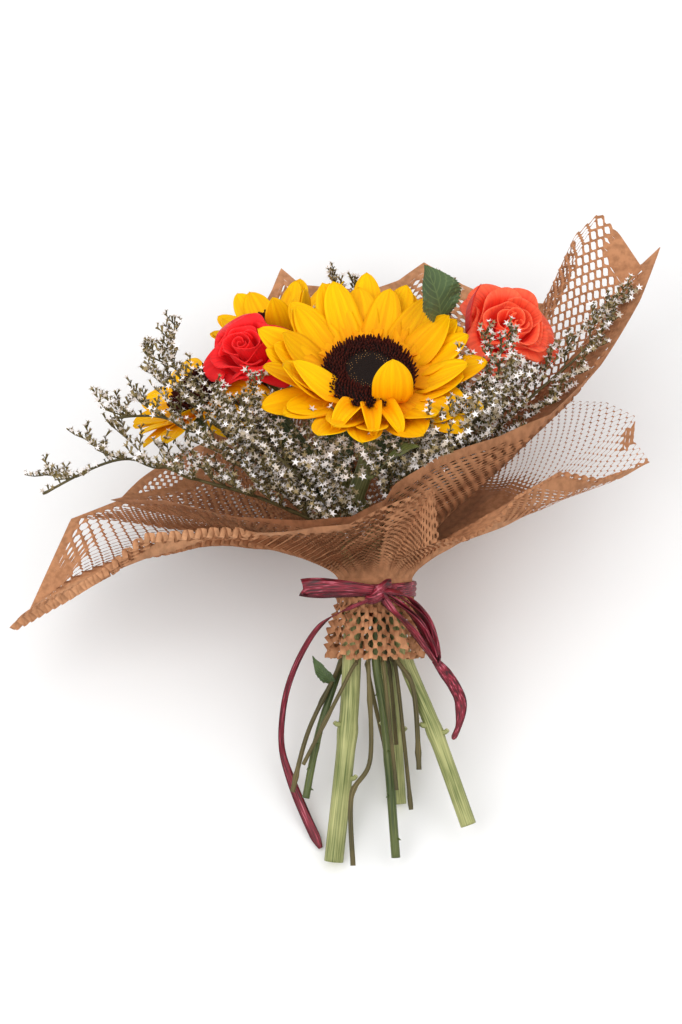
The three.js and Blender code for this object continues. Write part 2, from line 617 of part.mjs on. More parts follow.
// A spray: its stem, side twigs from `from` onward, and rows of florets on the side that looks at `face`.
const SPRAYS = {
  left_far: { face: [0, 0.45, 0.9], from: 0.42, twigs: 6, reach: 34, r: [1.9, 0.9],
    path: [[24.8, 12.2, -64], [13.1, 10, -42], [-0.9, 5.6, 0], [-24.4, 21.8, 35], [-70, 31.6, 58],
      [-110, 38, 70], [-160, 40, 84], [-212, 30, 62]] },
  left_mid: { face: [-0.1, 0.5, 0.86], from: 0.45, twigs: 5, reach: 32, r: [1.5, 0.8],
    path: [[14.1, 0, -54], [9.9, 1.7, -42], [2, 2.6, 0], [-20.8, 21.3, 42], [-60.4, 31.4, 72],
      [-96, 44, 92], [-134, 44, 110], [-168, 34, 110]] },
  left_top: { face: [-0.3, 0.6, 0.74], from: 0.5, twigs: 5, reach: 28, r: [1.5, 0.8],
    path: [[10, -2, -54], [7.6, -1.9, -42], [-0.8, -1.3, 0], [-24.5, 1.2, 44], [-62.1, 20.7, 82],
      [-98, 34, 112], [-130, 32, 136], [-137, 16, 158]] },
  left_front: { face: [-0.1, 0.75, 0.65], from: 0.42, twigs: 5, reach: 28, r: [1.4, 0.8],
    path: [[-6, 18, -54], [-4.4, 16.2, -42], [-5.8, 19, 0], [-6.3, 19.6, 14], [-14, 31, 34],
      [-34, 44, 58],
      [-60, 58, 84], [-78, 58, 104], [-86, 50, 124]] },
  centre_front: { face: [0.1, 0.7, 0.7], from: 0.46, twigs: 5, reach: 24, r: [1.4, 0.8],
    path: [[6, 18, -54], [5, 16, -42], [8.4, 15.5, 0], [5, 27, 32], [13, 49, 60],
      [28, 66, 80], [44, 72, 98], [64, 68, 114]] },
  right_front: { face: [0.1, 0.75, 0.65], from: 0.42, twigs: 5, reach: 26, r: [1.5, 0.8],
    path: [[-16.6, 16.9, -54], [-10.8, 16.2, -42], [-3.5, 9.7, 0], [16.5, 22.2, 42], [40.1, 38, 76],
      [62, 50, 106], [76, 52, 132], [80, 46, 162]] },
  right_top: { face: [0.2, 0.6, 0.77], from: 0.5, twigs: 6, reach: 34, r: [1.8, 0.8],
    path: [[-53, 4, -130], [-42.4, 4.7, -90], [-19.6, -0.7, -42], [-5.3, -4.7, 0], [16.6, -1.2, 42],
      [51.9, 12.6, 82], [100, 18, 124], [140, 8, 160], [158, -4, 192]] },
  back_right: { face: [0.2, 0.5, 0.85], from: 0.5, twigs: 5, reach: 32, r: [1.6, 0.8],
    path: [[-4, -16, -54], [-3, -14.5, -42], [2.3, -16.9, 0], [14.2, -25.2, 50], [26, -32, 96],
      [36, -36, 140], [42, -32, 178], [47, -20, 208]] },
  back_left: { face: [-0.1, 0.5, 0.86], from: 0.5, twigs: 5, reach: 32, r: [1.6, 0.8],
    path: [[-12, -12, -54], [-10, -12, -42], [-5, -13.2, 0], [-10, -30, 50], [-16, -44, 96],
      [-18, -50, 140], [-18, -44, 176], [-22, -24, 202]] },
};

const STEM_STEPS = 15;
const sprayRings = (name) => {
  const { path, r } = SPRAYS[name];
  return ringsAlong((t) => spline(path, t), (t) => r[0] + (r[1] - r[0]) * t, 5, STEM_STEPS);
};
function sprayStem(name) {
  const { path, r } = SPRAYS[name];
  return rod((t) => spline(path, t), (t) => r[0] + (r[1] - r[0]) * t, 5, STEM_STEPS);
}

// Where the florets of a twig sit: its curve, how far along, their axes and sizes.
function floretsOf(curve, count, id, up) {
  return Array.from({ length: count + 1 }, (_, k) => {
    const last = k === count;
    const t = last ? 1 : 0.3 + (0.62 * (k + 0.5)) / count;
    const along = unit(add(curve(Math.min(1, t + 0.02)), curve(t - 0.02), -1));
    const side = unit(cross(along, up));
    const lean = 0.9 * (draw(id, k + 20) - 0.5);
    const axis = last ? add(along, up, 0.7) : add(add(mul(up, 0.95), along, 0.3), side, lean);
    return { t, axis: unit(axis), size: 5 + 1.2 * draw(id, k + 40) };
  });
}

function spray(name, order) {
  const { path, face, from, twigs, reach } = SPRAYS[name];
  const stemCurve = (t) => spline(path, t);
  const up = unit(face);
  making = "statice_" + name;
  const grown = new Map();
  for (let i = 0; i < twigs; i++) {
    const id = order * 17 + i;
    const t = from + ((1 - from) * (i + 0.2)) / twigs;
    const step = Math.min(STEM_STEPS - 1, Math.floor(t * STEM_STEPS));
    if (grown.has(step)) continue;
    const p = stemCurve((step + 0.5) / STEM_STEPS);
    const along = unit(add(stemCurve(t + 0.02), stemCurve(t - 0.02), -1));
    const side = mul(unit(cross(along, up)), i % 2 ? 1 : -1);
    const L = reach * (0.75 + 0.5 * draw(id, 1)) * (1.15 - 0.4 * t);
    const count = clamp(Math.round(L / 12.5), 1, 3);
    for (const [spread, high] of [[0.9, 0.25], [0.6, 0.5], [0.4, 0.8], [1.1, -0.1], [0.3, 0.2]]) {
      const d = unit(add(add(mul(along, 0.75), side, spread), up, high));
      const bow = unit(add(add(mul(along, 1.0), side, spread * 0.35), up, high + 0.15));
      const curve = (f) => spline([p, add(p, d, L * 0.5), add(add(p, d, L * 0.55), bow, L * 0.5)], f);
      if (!clear(rod(curve, () => 1.5, 4, 3))) continue;
      const florets = floretsOf(curve, count, id, up)
        .map((f) => ({ ...f, fits: clear(trialFloret(curve(f.t), f.axis, f.size)) }));
      grown.set(step, { curve, florets, d, along });
      break;
    }
  }
  for (const [step, twig] of [...grown])
    if (!clear(growSpray(name, new Map([[step, twig]]), up), 0.3)) grown.delete(step);
  keep(making, growSpray(name, grown, up), "lilac");
  making = "";
}

// The whole spray as one skin: `grown` holds a twig for each step of the stem that carries one.
function growSpray(name, grown, up) {
  const stemCurve = (t) => spline(SPRAYS[name].path, t);
  const skin = new Skin();
  const rings = sprayRings(name).map((r) => skin.loop(r));
  skin.close(rings[0], true);
  for (let i = 0; i < STEM_STEPS; i++) {
    const twig = grown.get(i);
    if (!twig) {
      skin.band(rings[i], rings[i + 1]);
      continue;
    }
    const middle = stemCurve((i + 0.5) / STEM_STEPS);
    const facing = rings[i].map((v, k) => {
      const l = (k + 1) % 5;
      const c = [v, rings[i][l], rings[i + 1][k], rings[i + 1][l]]
        .reduce((sum, q) => add(sum, skin.verts[q], 0.25), [0, 0, 0]);
      return dot(add(c, middle, -1), twig.d);
    });
    const foot = skin.band(rings[i], rings[i + 1], facing.indexOf(Math.max(...facing)));
    growTwig(skin, foot, twig, up);
  }
  const axis = unit(add(stemCurve(1), stemCurve(0.97), -1));
  const end = rings[STEM_STEPS];
  if (clear(trialFloret(stemCurve(1), axis, 5.5))) bloomOn(skin, end, stemCurve(1), axis, 5.5);
  else skin.close(end);
  return skin.solid;
}

// Carries a twig on from the opening `foot` (four corners) of the skin, with its florets.
function growTwig(skin, foot, { curve, florets, d }, up) {
  const corner = (k) => skin.verts[foot[k]];
  let along = unit(add(add(corner(2), corner(3)), add(corner(0), corner(1)), -1));
  const s0 = add(corner(1), corner(0), -1);
  const middle = curve(0);
  const size = 0.65;
  let ring = foot, before = middle;
  const stops = [0.14, ...florets.slice(0, -1).flatMap((f) => [f.t - 0.06, f.t + 0.06]), 0.985];
  let sign = 0;
  stops.forEach((t, m) => {
    const at = curve(t);
    const tangent = unit(add(curve(Math.min(1, t + 0.02)), curve(t - 0.02), -1));
    along = unit(add(along, tangent, -dot(along, tangent)));
    const e2 = cross(tangent, along);
    if (!sign) sign = dot(s0, e2) > 0 ? 1 : -1;
    const k = size * (1 - 0.3 * t);
    const next = skin.loop([[-1, -sign], [-1, sign], [1, sign], [1, -sign]].map(([x, y]) =>
      add(add(at, along, x * k), e2, y * k)));
    // an odd band carries a floret on the side that looks up
    const f = m % 2 === 0 && m > 0 && m < stops.length - 1 ? florets[m / 2 - 1] : null;
    if (f && f.fits) {
      const c = mix(before, at, 0.5);
      const facing = ring.map((v, q) => {
        const l = (q + 1) % 4;
        const o = mix(mix(skin.verts[v], skin.verts[ring[l]], 0.5),
          mix(skin.verts[next[q]], skin.verts[next[l]], 0.5), 0.5);
        return dot(add(o, c, -1), f.axis);
      });
      const bed = skin.band(ring, next, facing.indexOf(Math.max(...facing)));
      bloomOn(skin, bed, c, f.axis, f.size);
    } else skin.band(ring, next);
    ring = next;
    before = at;
  });
  const last = florets[florets.length - 1];
  if (last.fits) bloomOn(skin, ring, curve(1), last.axis, last.size);
  else skin.close(ring);
}

// ---------------------------------------------------------------- raffia ribbon
// A flat strap along a path; across is its width direction.
function strap(path, width, thick, across, steps, profile = () => 1) {
  const curve = (t) => spline(path, t);
  const verts = [], tris = [];
  for (let i = 0; i <= steps; i++) {
    const t = i / steps;
    const along = unit(add(curve(Math.min(1, t + 0.01)), curve(Math.max(0, t - 0.01)), -1));
    const a = typeof across === "function" ? across(t) : across;
    const wide = unit(add(a, along, -dot(a, along)));
    const high = unit(cross(along, wide));
    const h = (width / 2) * profile(t);
    for (const [x, y] of [[-1, -1], [1, -1], [1, 1], [-1, 1]])
      verts.push(add(add(curve(t), wide, x * h), high, (y * thick) / 2));
  }
  for (let i = 0; i < steps; i++)
    for (let k = 0; k < 4; k++) {
      const a = i * 4 + k, b = i * 4 + ((k + 1) % 4);
      tris.push([a, b, b + 4], [a, b + 4, a + 4]);
    }
  for (const [o, flip] of [[0, false], [steps * 4, true]])
    for (const [a, b, c] of [[0, 3, 1], [3, 2, 1]])
      tris.push(flip ? [o + a, o + c, o + b] : [o + a, o + b, o + c]);
  return body(verts, tris);
}

const TAIL_LEFT = [[-4.1, 29.6, -6.1], [-20, 28, -12.5], [-35, 22, -22], [-47, 13, -40], [-56, 4, -62],
  [-60, -4, -84], [-60, -12, -104], [-54, -11, -124], [-44, -8, -148], [-35, -5.5, -167]];
const TAIL_RIGHT = [[38.3, 21.4, -44.5], [45, 17.5, -53], [51, 14, -62], [55, 11, -72], [54, 9, -86],
  [50, 8, -96]];

function ribbon() {
  const turns = [];
  const ring = (r, z, phase) => {
    const sides = 24, section = [[0, -5], [1.4, -4.4], [1.4, 4.4], [0, 5]];
    const verts = [], tris = [];
    for (let k = 0; k < sides; k++) {
      const a = (2 * Math.PI * k) / sides;
      const sway = 1.2 * Math.sin(a + phase);
      section.forEach(([dr, dz], m) => {
        const fold = dr ? dr + 0.25 * Math.sin(9 * a + m) : 0;
        verts.push([(r + fold) * Math.cos(a), (r + fold) * Math.sin(a), z + dz + sway]);
      });
    }
    for (let k = 0; k < sides; k++)
      for (let m = 0; m < 4; m++) {
        const a = k * 4 + m, b = k * 4 + ((m + 1) % 4);
        const c = ((k + 1) % sides) * 4 + m, d = ((k + 1) % sides) * 4 + ((m + 1) % 4);
        tris.push([a, b, d], [a, d, c]);
      }
    return body(verts, tris);
  };
  const r = NECK_OUTER + PAPER / 2 + GAP + 0.2;
  turns.push(ring(r, 0, 0.4));
  const knot = { at: [2, r + 4, -1], face: [0, 1, 0] };
  const { frame } = headFrame(knot);
  turns.push(turned(frame, [[0, -4], [5, -3.6], [7.4, 0], [5.5, 3.4], [0, 4.6]], 8,
    (i, k) => 0.7 * (k % 2)));
  turns.push(strap([[2, r + 3, 0], [-16, r + 6, 5], [-36, r + 2, 6], [-47, r - 4, 1], [-36, r + 1, -5],
    [-16, r + 3, -3], [0, r + 4, -2]], 8, 1.3, [0, 0.55, 0.83], 14));
  turns.push(strap([[2, r + 4, 1], [14, r + 6, -3], [27, r + 3, -13], [36, r, -28], [38, r - 3, -42],
    [34, r - 1, -30], [26, r + 5, -18], [12, r + 6.5, -7], [0, r + 5, -2]], 9, 1.4, [0.55, 0.6, -0.3], 18));
  keep("raffia_tie", join(turns), "raffia");
}

function tail(name, path) {
  keep(name, strap(path, name === "ribbon_tail_left" ? 5 : 7, 1.1, [0.85, 0.1, 0.45], 20,
    (t) => (t < 0.85 ? 1 - 0.25 * t : 0.78 - 4 * (t - 0.85))), "raffia");
}

// ---------------------------------------------------------------- putting it together
const ROWS_OUTER = [-1, -0.3, 0, 0.18, 0.38, 0.58, 0.76, 0.9, 1];
const ROWS_INNER = [-1, 0, 0.2, 0.42, 0.62, 0.82, 1];
const within = (phi, a, b) => (phi - a + 360) % 360 < (b - a + 360) % 360;
const outerOpen = (phi, s) =>
  (s > 0.5 && s < 0.85 && within(phi, 335, 8)) || (s > 0.5 && s < 0.85 && within(phi, 181, 195)) ||
  (s > 0.15 && s < 0.6 && within(phi, 80, 140));
const innerOpen = (phi, s) => s > 0.5 && s < 0.95 && within(phi, 336, 10);

for (const name of Object.keys(SPRAYS)) reserve("statice_" + name, sprayStem(name));
for (const key of ["left", "right"]) reserve("rose_" + key, roseCore(ROSES[key]));
for (const key of ["front", "left", "back"]) keep("stem_" + key, sunflowerStem(key), "green");
keep("wrap_outer", collar(true, ROWS_OUTER, outerOpen), "paper");
keep("wrap_inner", collar(false, ROWS_INNER, innerOpen), "paper");
for (const key of ["right", "left"]) {
  const { pieces } = roseStem(key);
  if (key === "right") {
    const low = leaf([-26, -1, -61], [-45, 19, -36], [-0.4, 0.9, 0.1], 11, 6);
    if (clear(low)) pieces.push(low);
    const joint = spline([...STEMS.roseRight.path], 0.93);
    const twig = rod((t) => mix(joint, [42, 26, 172], t), () => 1, 4, 2);
    if (clear(twig)) pieces.push(twig);
    const green = leaf([42, 26, 171], [31, 42, 207], [0.4, 0.8, 0.3], 26);
    if (clear(green)) pieces.push(green);
  }
  keep("stem_rose_" + key, join(pieces), "dark");
}
sunflower("front");
bloom("right");
bloom("left");
sunflower("left");
sunflower("back");
Object.keys(SPRAYS).forEach(spray);
ribbon();
tail("ribbon_tail_left", TAIL_LEFT);
tail("ribbon_tail_right", TAIL_RIGHT);

const group = new THREE.Group();
group.name = "bouquet";
for (const { name, solid, look } of nodes) {
  const mesh = solid.getMesh();
  const stride = mesh.numProp, p = new Float32Array(mesh.numVert * 3);
  for (let i = 0; i < mesh.numVert; i++)
    p.set(mesh.vertProperties.subarray(i * stride, i * stride + 3), i * 3);
  const geometry = new THREE.BufferGeometry();
  geometry.setAttribute("position", new THREE.BufferAttribute(p, 3));
  geometry.setIndex(new THREE.BufferAttribute(mesh.triVerts, 1));
  geometry.computeVertexNormals();
  const [color, roughness, metalness] = PAINT[look];
  const material = new THREE.MeshStandardMaterial({ color, roughness, metalness });
  const piece = new THREE.Mesh(geometry, material);
  piece.name = name;
  group.add(piece);
}

export default group;
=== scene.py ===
# %% [markdown]
# # A mixed bouquet in honeycomb paper, lying on its back
#
# The bouquet holds three sunflowers, two roses and nine sprays of white statice. Two nested collars
# of slit kraft paper are gathered round the stems, and a raffia ribbon ties them. The solids are
# loaded first and stay where they are. Detail could be sculpted on them, but cells, veins, ribs and
# florets repeat by the hundred and are easier to build from points. So each piece made below takes
# the place of one solid, follows the same curves, and adds what the solid leaves out.

# %% Load the solids
import json
import math

import bpy
import numpy as np
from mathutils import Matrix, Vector

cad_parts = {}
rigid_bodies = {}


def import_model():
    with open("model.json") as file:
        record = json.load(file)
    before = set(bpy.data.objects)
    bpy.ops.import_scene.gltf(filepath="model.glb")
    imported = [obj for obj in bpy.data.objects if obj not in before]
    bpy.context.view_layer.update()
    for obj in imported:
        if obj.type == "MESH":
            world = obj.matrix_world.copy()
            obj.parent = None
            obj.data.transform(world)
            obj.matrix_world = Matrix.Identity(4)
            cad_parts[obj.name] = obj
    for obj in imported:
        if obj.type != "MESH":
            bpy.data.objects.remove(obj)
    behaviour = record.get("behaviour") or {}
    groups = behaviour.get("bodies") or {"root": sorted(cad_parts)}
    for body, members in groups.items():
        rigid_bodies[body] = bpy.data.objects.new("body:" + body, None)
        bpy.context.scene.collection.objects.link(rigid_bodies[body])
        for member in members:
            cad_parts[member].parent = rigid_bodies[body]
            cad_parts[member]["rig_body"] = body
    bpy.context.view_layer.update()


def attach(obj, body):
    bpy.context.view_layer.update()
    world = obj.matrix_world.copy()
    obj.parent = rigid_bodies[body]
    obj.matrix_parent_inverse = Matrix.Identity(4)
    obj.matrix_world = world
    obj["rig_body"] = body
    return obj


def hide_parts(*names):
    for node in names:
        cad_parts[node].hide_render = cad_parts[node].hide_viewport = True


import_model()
for extra in [o for o in bpy.data.objects if "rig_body" not in o and not o.name.startswith("body:")]:
    bpy.data.objects.remove(extra)  # the cube, camera and light of a new scene
bpy.ops.object.select_all(action="DESELECT")

# %% [markdown]
# A bunch of flowers leans and lies at an angle, and numbers in the ground's frame would be hard to
# choose. So everything is set out in the bouquet's own frame, in millimetres with the tie at the
# origin: u to the right, v out of the front face, w along the stems toward the flowers. One
# function lays such points on the ground, the same way as the solids were laid, so a petal or a
# paper cell that is worked out in the easy frame still meets its solid.

# %% The bouquet's own frame
TILT = math.radians(22)
TIE_HEIGHT = 70.0
SHIFT = (19.14, -39.24)  # where the tie is, from the middle of the footprint, in mm
COS, SIN = math.cos(TILT), math.sin(TILT)


def lay(points):
    """Points (u, v, w) in mm become metres in the part's frame."""
    p = np.asarray(points, float)
    u, v, w = p[..., 0], p[..., 1], p[..., 2]
    x, y = u + SHIFT[0], w * COS - v * SIN + SHIFT[1]
    return np.stack([x, y, w * SIN + v * COS + TIE_HEIGHT], -1) / 1000


print("tie at", lay([0, 0, 0]))

# %% [markdown]
# Stems, twigs and folds are smooth but never regular. Four small helpers serve them all: a curve
# through points set by hand, an even step between two values, a direction of length one, and a
# draw that looks random but gives the same number each time, so that every run makes the same
# bunch. Blender's own curves could hold the paths, but plain points are easier to build on here.

# %% Curves, steps and draws
def unit(a):
    """The same direction with length one, for one vector or many."""
    a = np.asarray(a, float)
    return a / np.maximum(np.linalg.norm(a, axis=-1, keepdims=True), 1e-9)


def draw(i, j=0):
    """The same number between 0 and 1 for the same pair, as in the solids."""
    x = math.sin(i * 12.9898 + j * 78.233 + 3.7) * 43758.5453
    return x - math.floor(x)


def smooth(a, b, x):
    """0 up to a, 1 from b on, and an even rise between them."""
    t = np.clip((np.asarray(x, float) - a) / (b - a), 0, 1)
    return t * t * (3 - 2 * t)


def spline(points, t):
    """A smooth curve through the points; t from 0 to 1, one number or many."""
    p = np.asarray(points, float)
    n = len(p) - 1
    t = np.clip(np.atleast_1d(np.asarray(t, float)), 0, 1) * n
    i = np.minimum(t.astype(int), n - 1)
    f = (t - i)[:, None]
    a, b, c, d = p[np.maximum(i - 1, 0)], p[i], p[i + 1], p[np.minimum(i + 2, n)]
    return 0.5 * (2 * b + (c - a) * f + (2 * a - 5 * b + 4 * c - d) * f ** 2
                  + (3 * b - a - 3 * c + d) * f ** 3)


print("half way between steps:", smooth(0, 1, 0.5), "and three draws:", [round(draw(i), 2) for i in range(3)])

# %% [markdown]
# A bouquet is looked at from its front face. Here the bunch lies on its back, so the camera hangs
# over it and looks straight at that face, 68 degrees above the ground. A camera without any
# perspective would be flatter than a photograph, so a real one with a long lens is used.

# %% Camera
AIM = np.array([-21.9, 0.0, 50.3])
DISTANCE = 2600.0
FIELD = 660.5  # mm of the front plane over the picture's height
SENSOR = 36  # mm, the size of the picture inside Blender's camera
FAR = 20  # metres, the depth that the camera sees

bpy.ops.object.camera_add()
camera = bpy.context.object
camera.name = "camera"
camera.location = lay(AIM + [0, DISTANCE, 0])
camera.rotation_euler = (TILT, 0, 0)
camera.data.lens = SENSOR * DISTANCE / FIELD
camera.data.clip_end = FAR
bpy.context.scene.camera = camera
print("lens", round(camera.data.lens, 1))

# %% [markdown]
# Many parts of a flower are one shape repeated with small changes. Thousands of separate objects
# would be slow to handle, and instances couldn't be bent one by one. So such copies are gathered
# in one mesh: a gatherer takes points and faces, with a place on the pattern (uv) and a shade
# (tint) for each point, and makes the object at the end.

# %% Gather many shapes in one mesh
LOWEST = 0.0002  # metres; the floor lies as far below the ground's zero


class Gather:
    """Collects points and faces, and makes one object of them."""
    def __init__(self):
        self.points, self.faces, self.uvs, self.tints, self.slots = [], [], [], [], []
        self.count = 0

    def add(self, points, faces, uv=None, tint=0.5, slot=0):
        """Adds a shape; faces is one table of corners, or a list of tables of different widths."""
        points = np.asarray(points, float).reshape(-1, 3)
        several = isinstance(faces, list) and isinstance(faces[0], np.ndarray)
        tables = faces if several else [np.asarray(faces, int)]
        self.points.append(points)
        self.faces.extend(table + self.count for table in tables)
        self.uvs.append(np.zeros((len(points), 2)) if uv is None else np.asarray(uv, float).reshape(-1, 2))
        self.tints.append(np.broadcast_to(np.asarray(tint, float).ravel(), (len(points),)))
        self.slots.extend(np.full(len(table), slot) for table in tables)
        self.count += len(points)

    def piece(self, name, finishes):
        """One object of all that was gathered, laid on the ground and kept just above it."""
        points = lay(np.concatenate(self.points))
        points[:, 2] = np.maximum(points[:, 2], LOWEST)
        corners = np.concatenate([f.ravel() for f in self.faces])
        widths = np.concatenate([np.full(len(f), f.shape[1]) for f in self.faces])
        mesh = bpy.data.meshes.new(name)
        mesh.vertices.add(len(points))
        mesh.vertices.foreach_set("co", points.astype(np.float32).ravel())
        mesh.loops.add(len(corners))
        mesh.loops.foreach_set("vertex_index", corners.astype(np.int32))
        mesh.polygons.add(len(widths))
        mesh.polygons.foreach_set("loop_start", (np.cumsum(widths) - widths).astype(np.int32))
        mesh.polygons.foreach_set("material_index", np.concatenate(self.slots).astype(np.int32))
        layer = mesh.uv_layers.new(name="UVMap")
        layer.data.foreach_set("uv", np.concatenate(self.uvs)[corners].astype(np.float32).ravel())
        tint = mesh.attributes.new("tint", "FLOAT", "POINT")
        tint.data.foreach_set("value", np.concatenate(self.tints).astype(np.float32))
        mesh.update(calc_edges=True)
        mesh.validate()
        made = bpy.data.objects.new(name, mesh)
        bpy.context.scene.collection.objects.link(made)
        for finish in finishes:
            mesh.materials.append(finish)
        return made


trial = Gather()
trial.add([[0, 0, 0], [1, 0, 0], [0, 1, 0]], [[0, 1, 2]])
print("a trial gatherer holds", trial.count, "points")

# %% [markdown]
# A gathered mesh still has to be closed up: seams are welded, faces turned outward, and thin
# blades such as petals get their thickness from a modifier. A last helper says which solids the
# piece replaces, because every piece of the bouquet needs that.

# %% Close up a piece, and let it stand for its solids
def choose(piece):
    """Makes the piece the one selected and active object."""
    bpy.ops.object.select_all(action="DESELECT")
    piece.select_set(True)
    bpy.context.view_layer.objects.active = piece


def close_up(piece, thick=0.0, weld=0.0, angle=None):
    """Welds, turns faces outward, thickens, and shades smoothly or with edges sharper than angle."""
    choose(piece)
    bpy.ops.object.mode_set(mode="EDIT")
    bpy.ops.mesh.select_all(action="SELECT")
    if weld:
        bpy.ops.mesh.remove_doubles(threshold=weld)
    bpy.ops.mesh.normals_make_consistent(inside=False)
    bpy.ops.object.mode_set(mode="OBJECT")
    if thick:
        piece.modifiers.new("thickness", "SOLIDIFY").thickness = thick
        piece.modifiers["thickness"].offset = 0
        bpy.ops.object.modifier_apply(modifier="thickness")
    if angle is None:
        bpy.ops.object.shade_smooth()
    else:
        bpy.ops.object.shade_smooth_by_angle(angle=math.radians(angle))
    return piece


def stand_for(piece, nodes, slot):
    """The piece moves with the part and replaces its solids; slot is not used."""
    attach(piece, "root")
    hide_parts(*nodes)
    print(piece.name, len(piece.data.vertices), "points for", ", ".join(nodes))


print("helpers ready:", choose.__name__, close_up.__name__, stand_for.__name__)

# %% [markdown]
# The small parts that repeat are modelled once, as by hand: a primitive is added, and edit-mode
# operators extrude, resize, move or merge its points. The finished shape is then read back, so
# that it can be set in many places. A flat blade starts from a grid that Blender adds. A round
# part, such as a flower's cup, grows from a circle: each ring is extruded from the last one, moved
# up and resized.

# %% Model a small shape and read it back
def grid_of(columns, rows):
    """A flat grid that Blender adds: its points as x and s (-1..1 and 0..1), and its faces."""
    bpy.ops.mesh.primitive_grid_add(x_subdivisions=columns, y_subdivisions=rows, size=2)
    made = bpy.context.object
    co = np.array([v.co[:2] for v in made.data.vertices])
    faces = np.array([list(p.vertices) for p in made.data.polygons])
    bpy.data.objects.remove(made)
    return co[:, 0], (co[:, 1] + 1) / 2, faces


def shape_of(made):
    """A modelled shape's points and tables of faces; the object itself is removed."""
    if made.mode == "EDIT":
        bpy.ops.object.mode_set(mode="OBJECT")
    place = np.array(made.matrix_world)
    points = np.array([list(v.co) for v in made.data.vertices]) @ place[:3, :3].T + place[:3, 3]
    tables = {}
    for face in made.data.polygons:
        tables.setdefault(len(face.vertices), []).append(list(face.vertices))
    bpy.data.objects.remove(made)
    return points, [np.array(table) for table in tables.values()]


def rings_up(profile, sides, fill="NGON"):
    """A body grown ring by ring: each (radius, height) is extruded from the one before."""
    radius, height = profile[0]
    bpy.ops.mesh.primitive_circle_add(vertices=sides, radius=radius, fill_type=fill, location=(0, 0, height))
    made = bpy.context.object
    bpy.ops.object.mode_set(mode="EDIT")
    bpy.ops.mesh.select_all(action="SELECT")
    for wider, higher in profile[1:]:
        bpy.ops.mesh.extrude_region_move(TRANSFORM_OT_translate={"value": (0, 0, higher - height)})
        grow = wider / radius
        bpy.ops.transform.resize(value=(grow, grow, 1), center_override=(0, 0, higher))
        radius, height = wider, higher
    return made


cup_points, cup_faces = shape_of(rings_up([(1, 0), (2, 1), (0.5, 2)], 8))
print("a trial cup has", sum(map(len, cup_faces)), "faces and reaches", cup_points.max(0).round(2))

# %% [markdown]
# Colours are picked as on a screen, from 0 to 255, but a shader counts in light, and the middle
# grey of a screen gives only about a fifth of the light of white. Blender's colour field could turn
# one into the other; here a helper does it, and another gives the greys that only steer a pattern.

# %% Colours
def srgb(r, g, b):
    """A colour as picked on a screen, 0 to 255, turned to the linear values that a shader takes."""
    return tuple((c / 255 / 12.92) if c / 255 <= 0.04045 else ((c / 255 + 0.055) / 1.055) ** 2.4
                 for c in (r, g, b)) + (1.0,)


def grey(value):
    """A grey as a linear value from 0 to 1."""
    return (value, value, value, 1)


WHITE, BLACK = grey(1), grey(0)
print("a mid grey is", [round(c, 3) for c in srgb(128, 128, 128)])

# %% [markdown]
# Every surface of the bouquet gets one shader. Its plain numbers, such as how rough or how shiny it
# is, are set on its own sockets. They could be driven by nodes as well, but a plain number is
# easier to find and change. Only the colour and the relief are fed by patterns.

# %% A shader with plain numbers
class Shader:
    """A material with one shader, and short ways to add nodes and feed them in."""
    def __init__(self, name, rough=0.7, sheen=0.0, specular=0.3, subsurface=0.0):
        self.material = bpy.data.materials.new(name)
        self.material.use_nodes = True
        self.tree = self.material.node_tree
        self.shader = self.tree.nodes["Principled BSDF"]
        self.shader.inputs["Roughness"].default_value = rough
        self.shader.inputs["Sheen Weight"].default_value = sheen
        self.shader.inputs["Specular IOR Level"].default_value = specular
        if subsurface:
            self.shader.inputs["Subsurface Weight"].default_value = subsurface
            self.shader.inputs["Subsurface Radius"].default_value = (0.004, 0.002, 0.001)
            self.shader.inputs["Subsurface Scale"].default_value = 0.6

    def node(self, kind, **values):
        made = self.tree.nodes.new(kind)
        for key, value in values.items():
            setattr(made, key, value)
        return made

    def link(self, out, into):
        self.tree.links.new(out, into)

    def feed(self, socket, value):
        """Links another node's output to the socket, or sets a plain number or colour on it."""
        if hasattr(value, "is_linked"):
            self.link(value, socket)
        else:
            socket.default_value = value

    def colour(self, out, glow=0.0):
        """The colour, and for thin petals some of it again as a painted glow, in place of the light that
        comes through them.
        """
        self.link(out, self.shader.inputs["Base Color"])
        if glow:
            self.link(out, self.shader.inputs["Emission Color"])
            self.shader.inputs["Emission Strength"].default_value = glow

    def relief(self, value, depth, strength=1.0):
        bump = self.node("ShaderNodeBump")
        bump.inputs["Distance"].default_value = depth
        bump.inputs["Strength"].default_value = strength
        self.link(value, bump.inputs["Height"])
        self.link(bump.outputs["Normal"], self.shader.inputs["Normal"])


print("a shader can", ", ".join(name for name in vars(Shader) if not name.startswith("_")))

# %% [markdown]
# A finish is a few patterns that change the colour and the relief. Picture files could do it too,
# but a pattern worked out by nodes has no seams and any sharpness. The patterns read the piece's uv
# map where they follow its surface, such as veins along a petal, and object coordinates where they
# don't.

